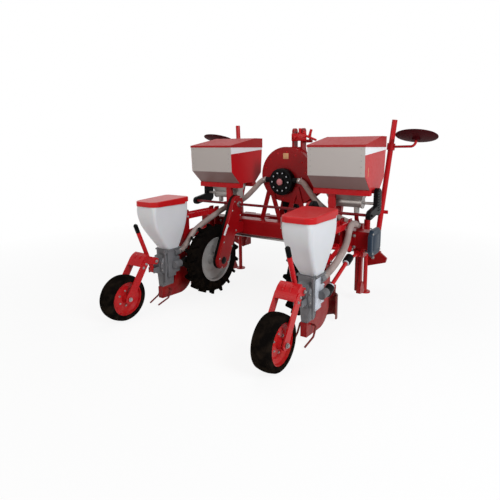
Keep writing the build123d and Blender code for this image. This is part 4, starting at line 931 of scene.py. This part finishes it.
class PLANTER_OT_stage(bpy.types.Operator):
    """Set the studio floor, backdrop, lights and camera"""
    bl_idname = "planter.stage"
    bl_label = "Stage"

    def execute(self, context):
        scene = context.scene
        scene.view_settings.view_transform = "Standard"
        colours = scene.planter_colours
        made = bmesh.new()
        bmesh.ops.create_grid(made, x_segments=1, y_segments=1, size=FLOOR_HALF)
        mesh = bpy.data.meshes.new("studio_floor")
        made.to_mesh(mesh)
        made.free()
        floor = bpy.data.objects.new("studio_floor", mesh)
        scene.collection.objects.link(floor)
        paper = bpy.data.materials.new("studio_paper")
        paper.use_nodes = True
        s = Shader(paper.node_tree)
        matt = s.add("BsdfDiffuse", Color=tuple(colours.floor))
        glow = s.add("Emission", Color=(1, 1, 1, 1), Strength=1.0)
        away = s.add("VectorMath", operation="LENGTH", I0=s.add("TexCoord").outputs["Object"]).outputs["Value"]
        white = s.ramp(away, FADE_START, FADE_END, WHITE_NEAR, WHITE_FAR)
        both = s.add("MixShader", Fac=s.math("MULTIPLY", s.shown(), white))
        s.feed(matt.outputs[0], both.inputs[1])
        s.feed(glow.outputs[0], both.inputs[2])
        s.add("OutputMaterial", Surface=both.outputs[0])
        mesh.materials.append(paper)

        world = bpy.data.worlds.new("studio_world")
        scene.world = world
        world.use_nodes = True
        s = Shader(world.node_tree)
        sky = s.add("Background", Color=(1, 1, 1, 1), Strength=s.ramp(s.shown(), 0.0, 1.0, SKY_LIGHT, SKY_SHOWN))
        s.add("OutputWorld", Surface=sky.outputs[0])

        for name, place, size, power, tint in LAMPS:
            light = bpy.data.lights.new(name, "AREA")
            light.shape = "DISK"
            light.size = size
            light.energy = power
            light.color = tint
            lamp = bpy.data.objects.new(name, light)
            lamp.location = place
            lamp.rotation_euler = (LAMP_AIM - Vector(place)).to_track_quat("-Z", "Y").to_euler()
            scene.collection.objects.link(lamp)

        lens = bpy.data.cameras.new("camera")
        lens.lens = scene.planter_sizes.view_lens
        lens.sensor_width = SENSOR_WIDTH
        lens.shift_x, lens.shift_y = CAMERA_SHIFT
        camera = bpy.data.objects.new("camera", lens)
        camera.location = CAMERA_PLACE
        camera.rotation_euler = CAMERA_TURN
        scene.collection.objects.link(camera)
        scene.camera = camera
        return {"FINISHED"}


OPERATORS = (PLANTER_OT_finishes, PLANTER_OT_hoses, PLANTER_OT_hoppers, PLANTER_OT_meters, PLANTER_OT_row_units,
             PLANTER_OT_drives, PLANTER_OT_tanks, PLANTER_OT_fan, PLANTER_OT_frame_fittings, PLANTER_OT_stage)


class PLANTER_PT_panel(bpy.types.Panel):
    """Steps that dress the planter"""
    bl_idname = "PLANTER_PT_panel"
    bl_label = "Precision planter"
    bl_space_type = "VIEW_3D"
    bl_region_type = "UI"
    bl_category = "Planter"

    def draw(self, context):
        for operator in OPERATORS:
            self.layout.operator(operator.bl_idname)


CLASSES = (PlanterColours, PlanterSizes) + OPERATORS + (PLANTER_PT_panel,)


def register():
    """Add the classes and the scene's settings."""
    for item in CLASSES:
        bpy.utils.register_class(item)
    bpy.types.Scene.planter_colours = PointerProperty(type=PlanterColours)
    bpy.types.Scene.planter_sizes = PointerProperty(type=PlanterSizes)


def unregister():
    """Take the classes and the settings away."""
    del bpy.types.Scene.planter_sizes
    del bpy.types.Scene.planter_colours
    for item in reversed(CLASSES):
        bpy.utils.unregister_class(item)


def main():
    """Dress the planter and set the stage."""
    register()
    for operator in OPERATORS:
        step = getattr(bpy.ops.planter, operator.bl_idname.split(".")[1])
        step()
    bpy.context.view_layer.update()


if __name__ == "__main__":
    main()
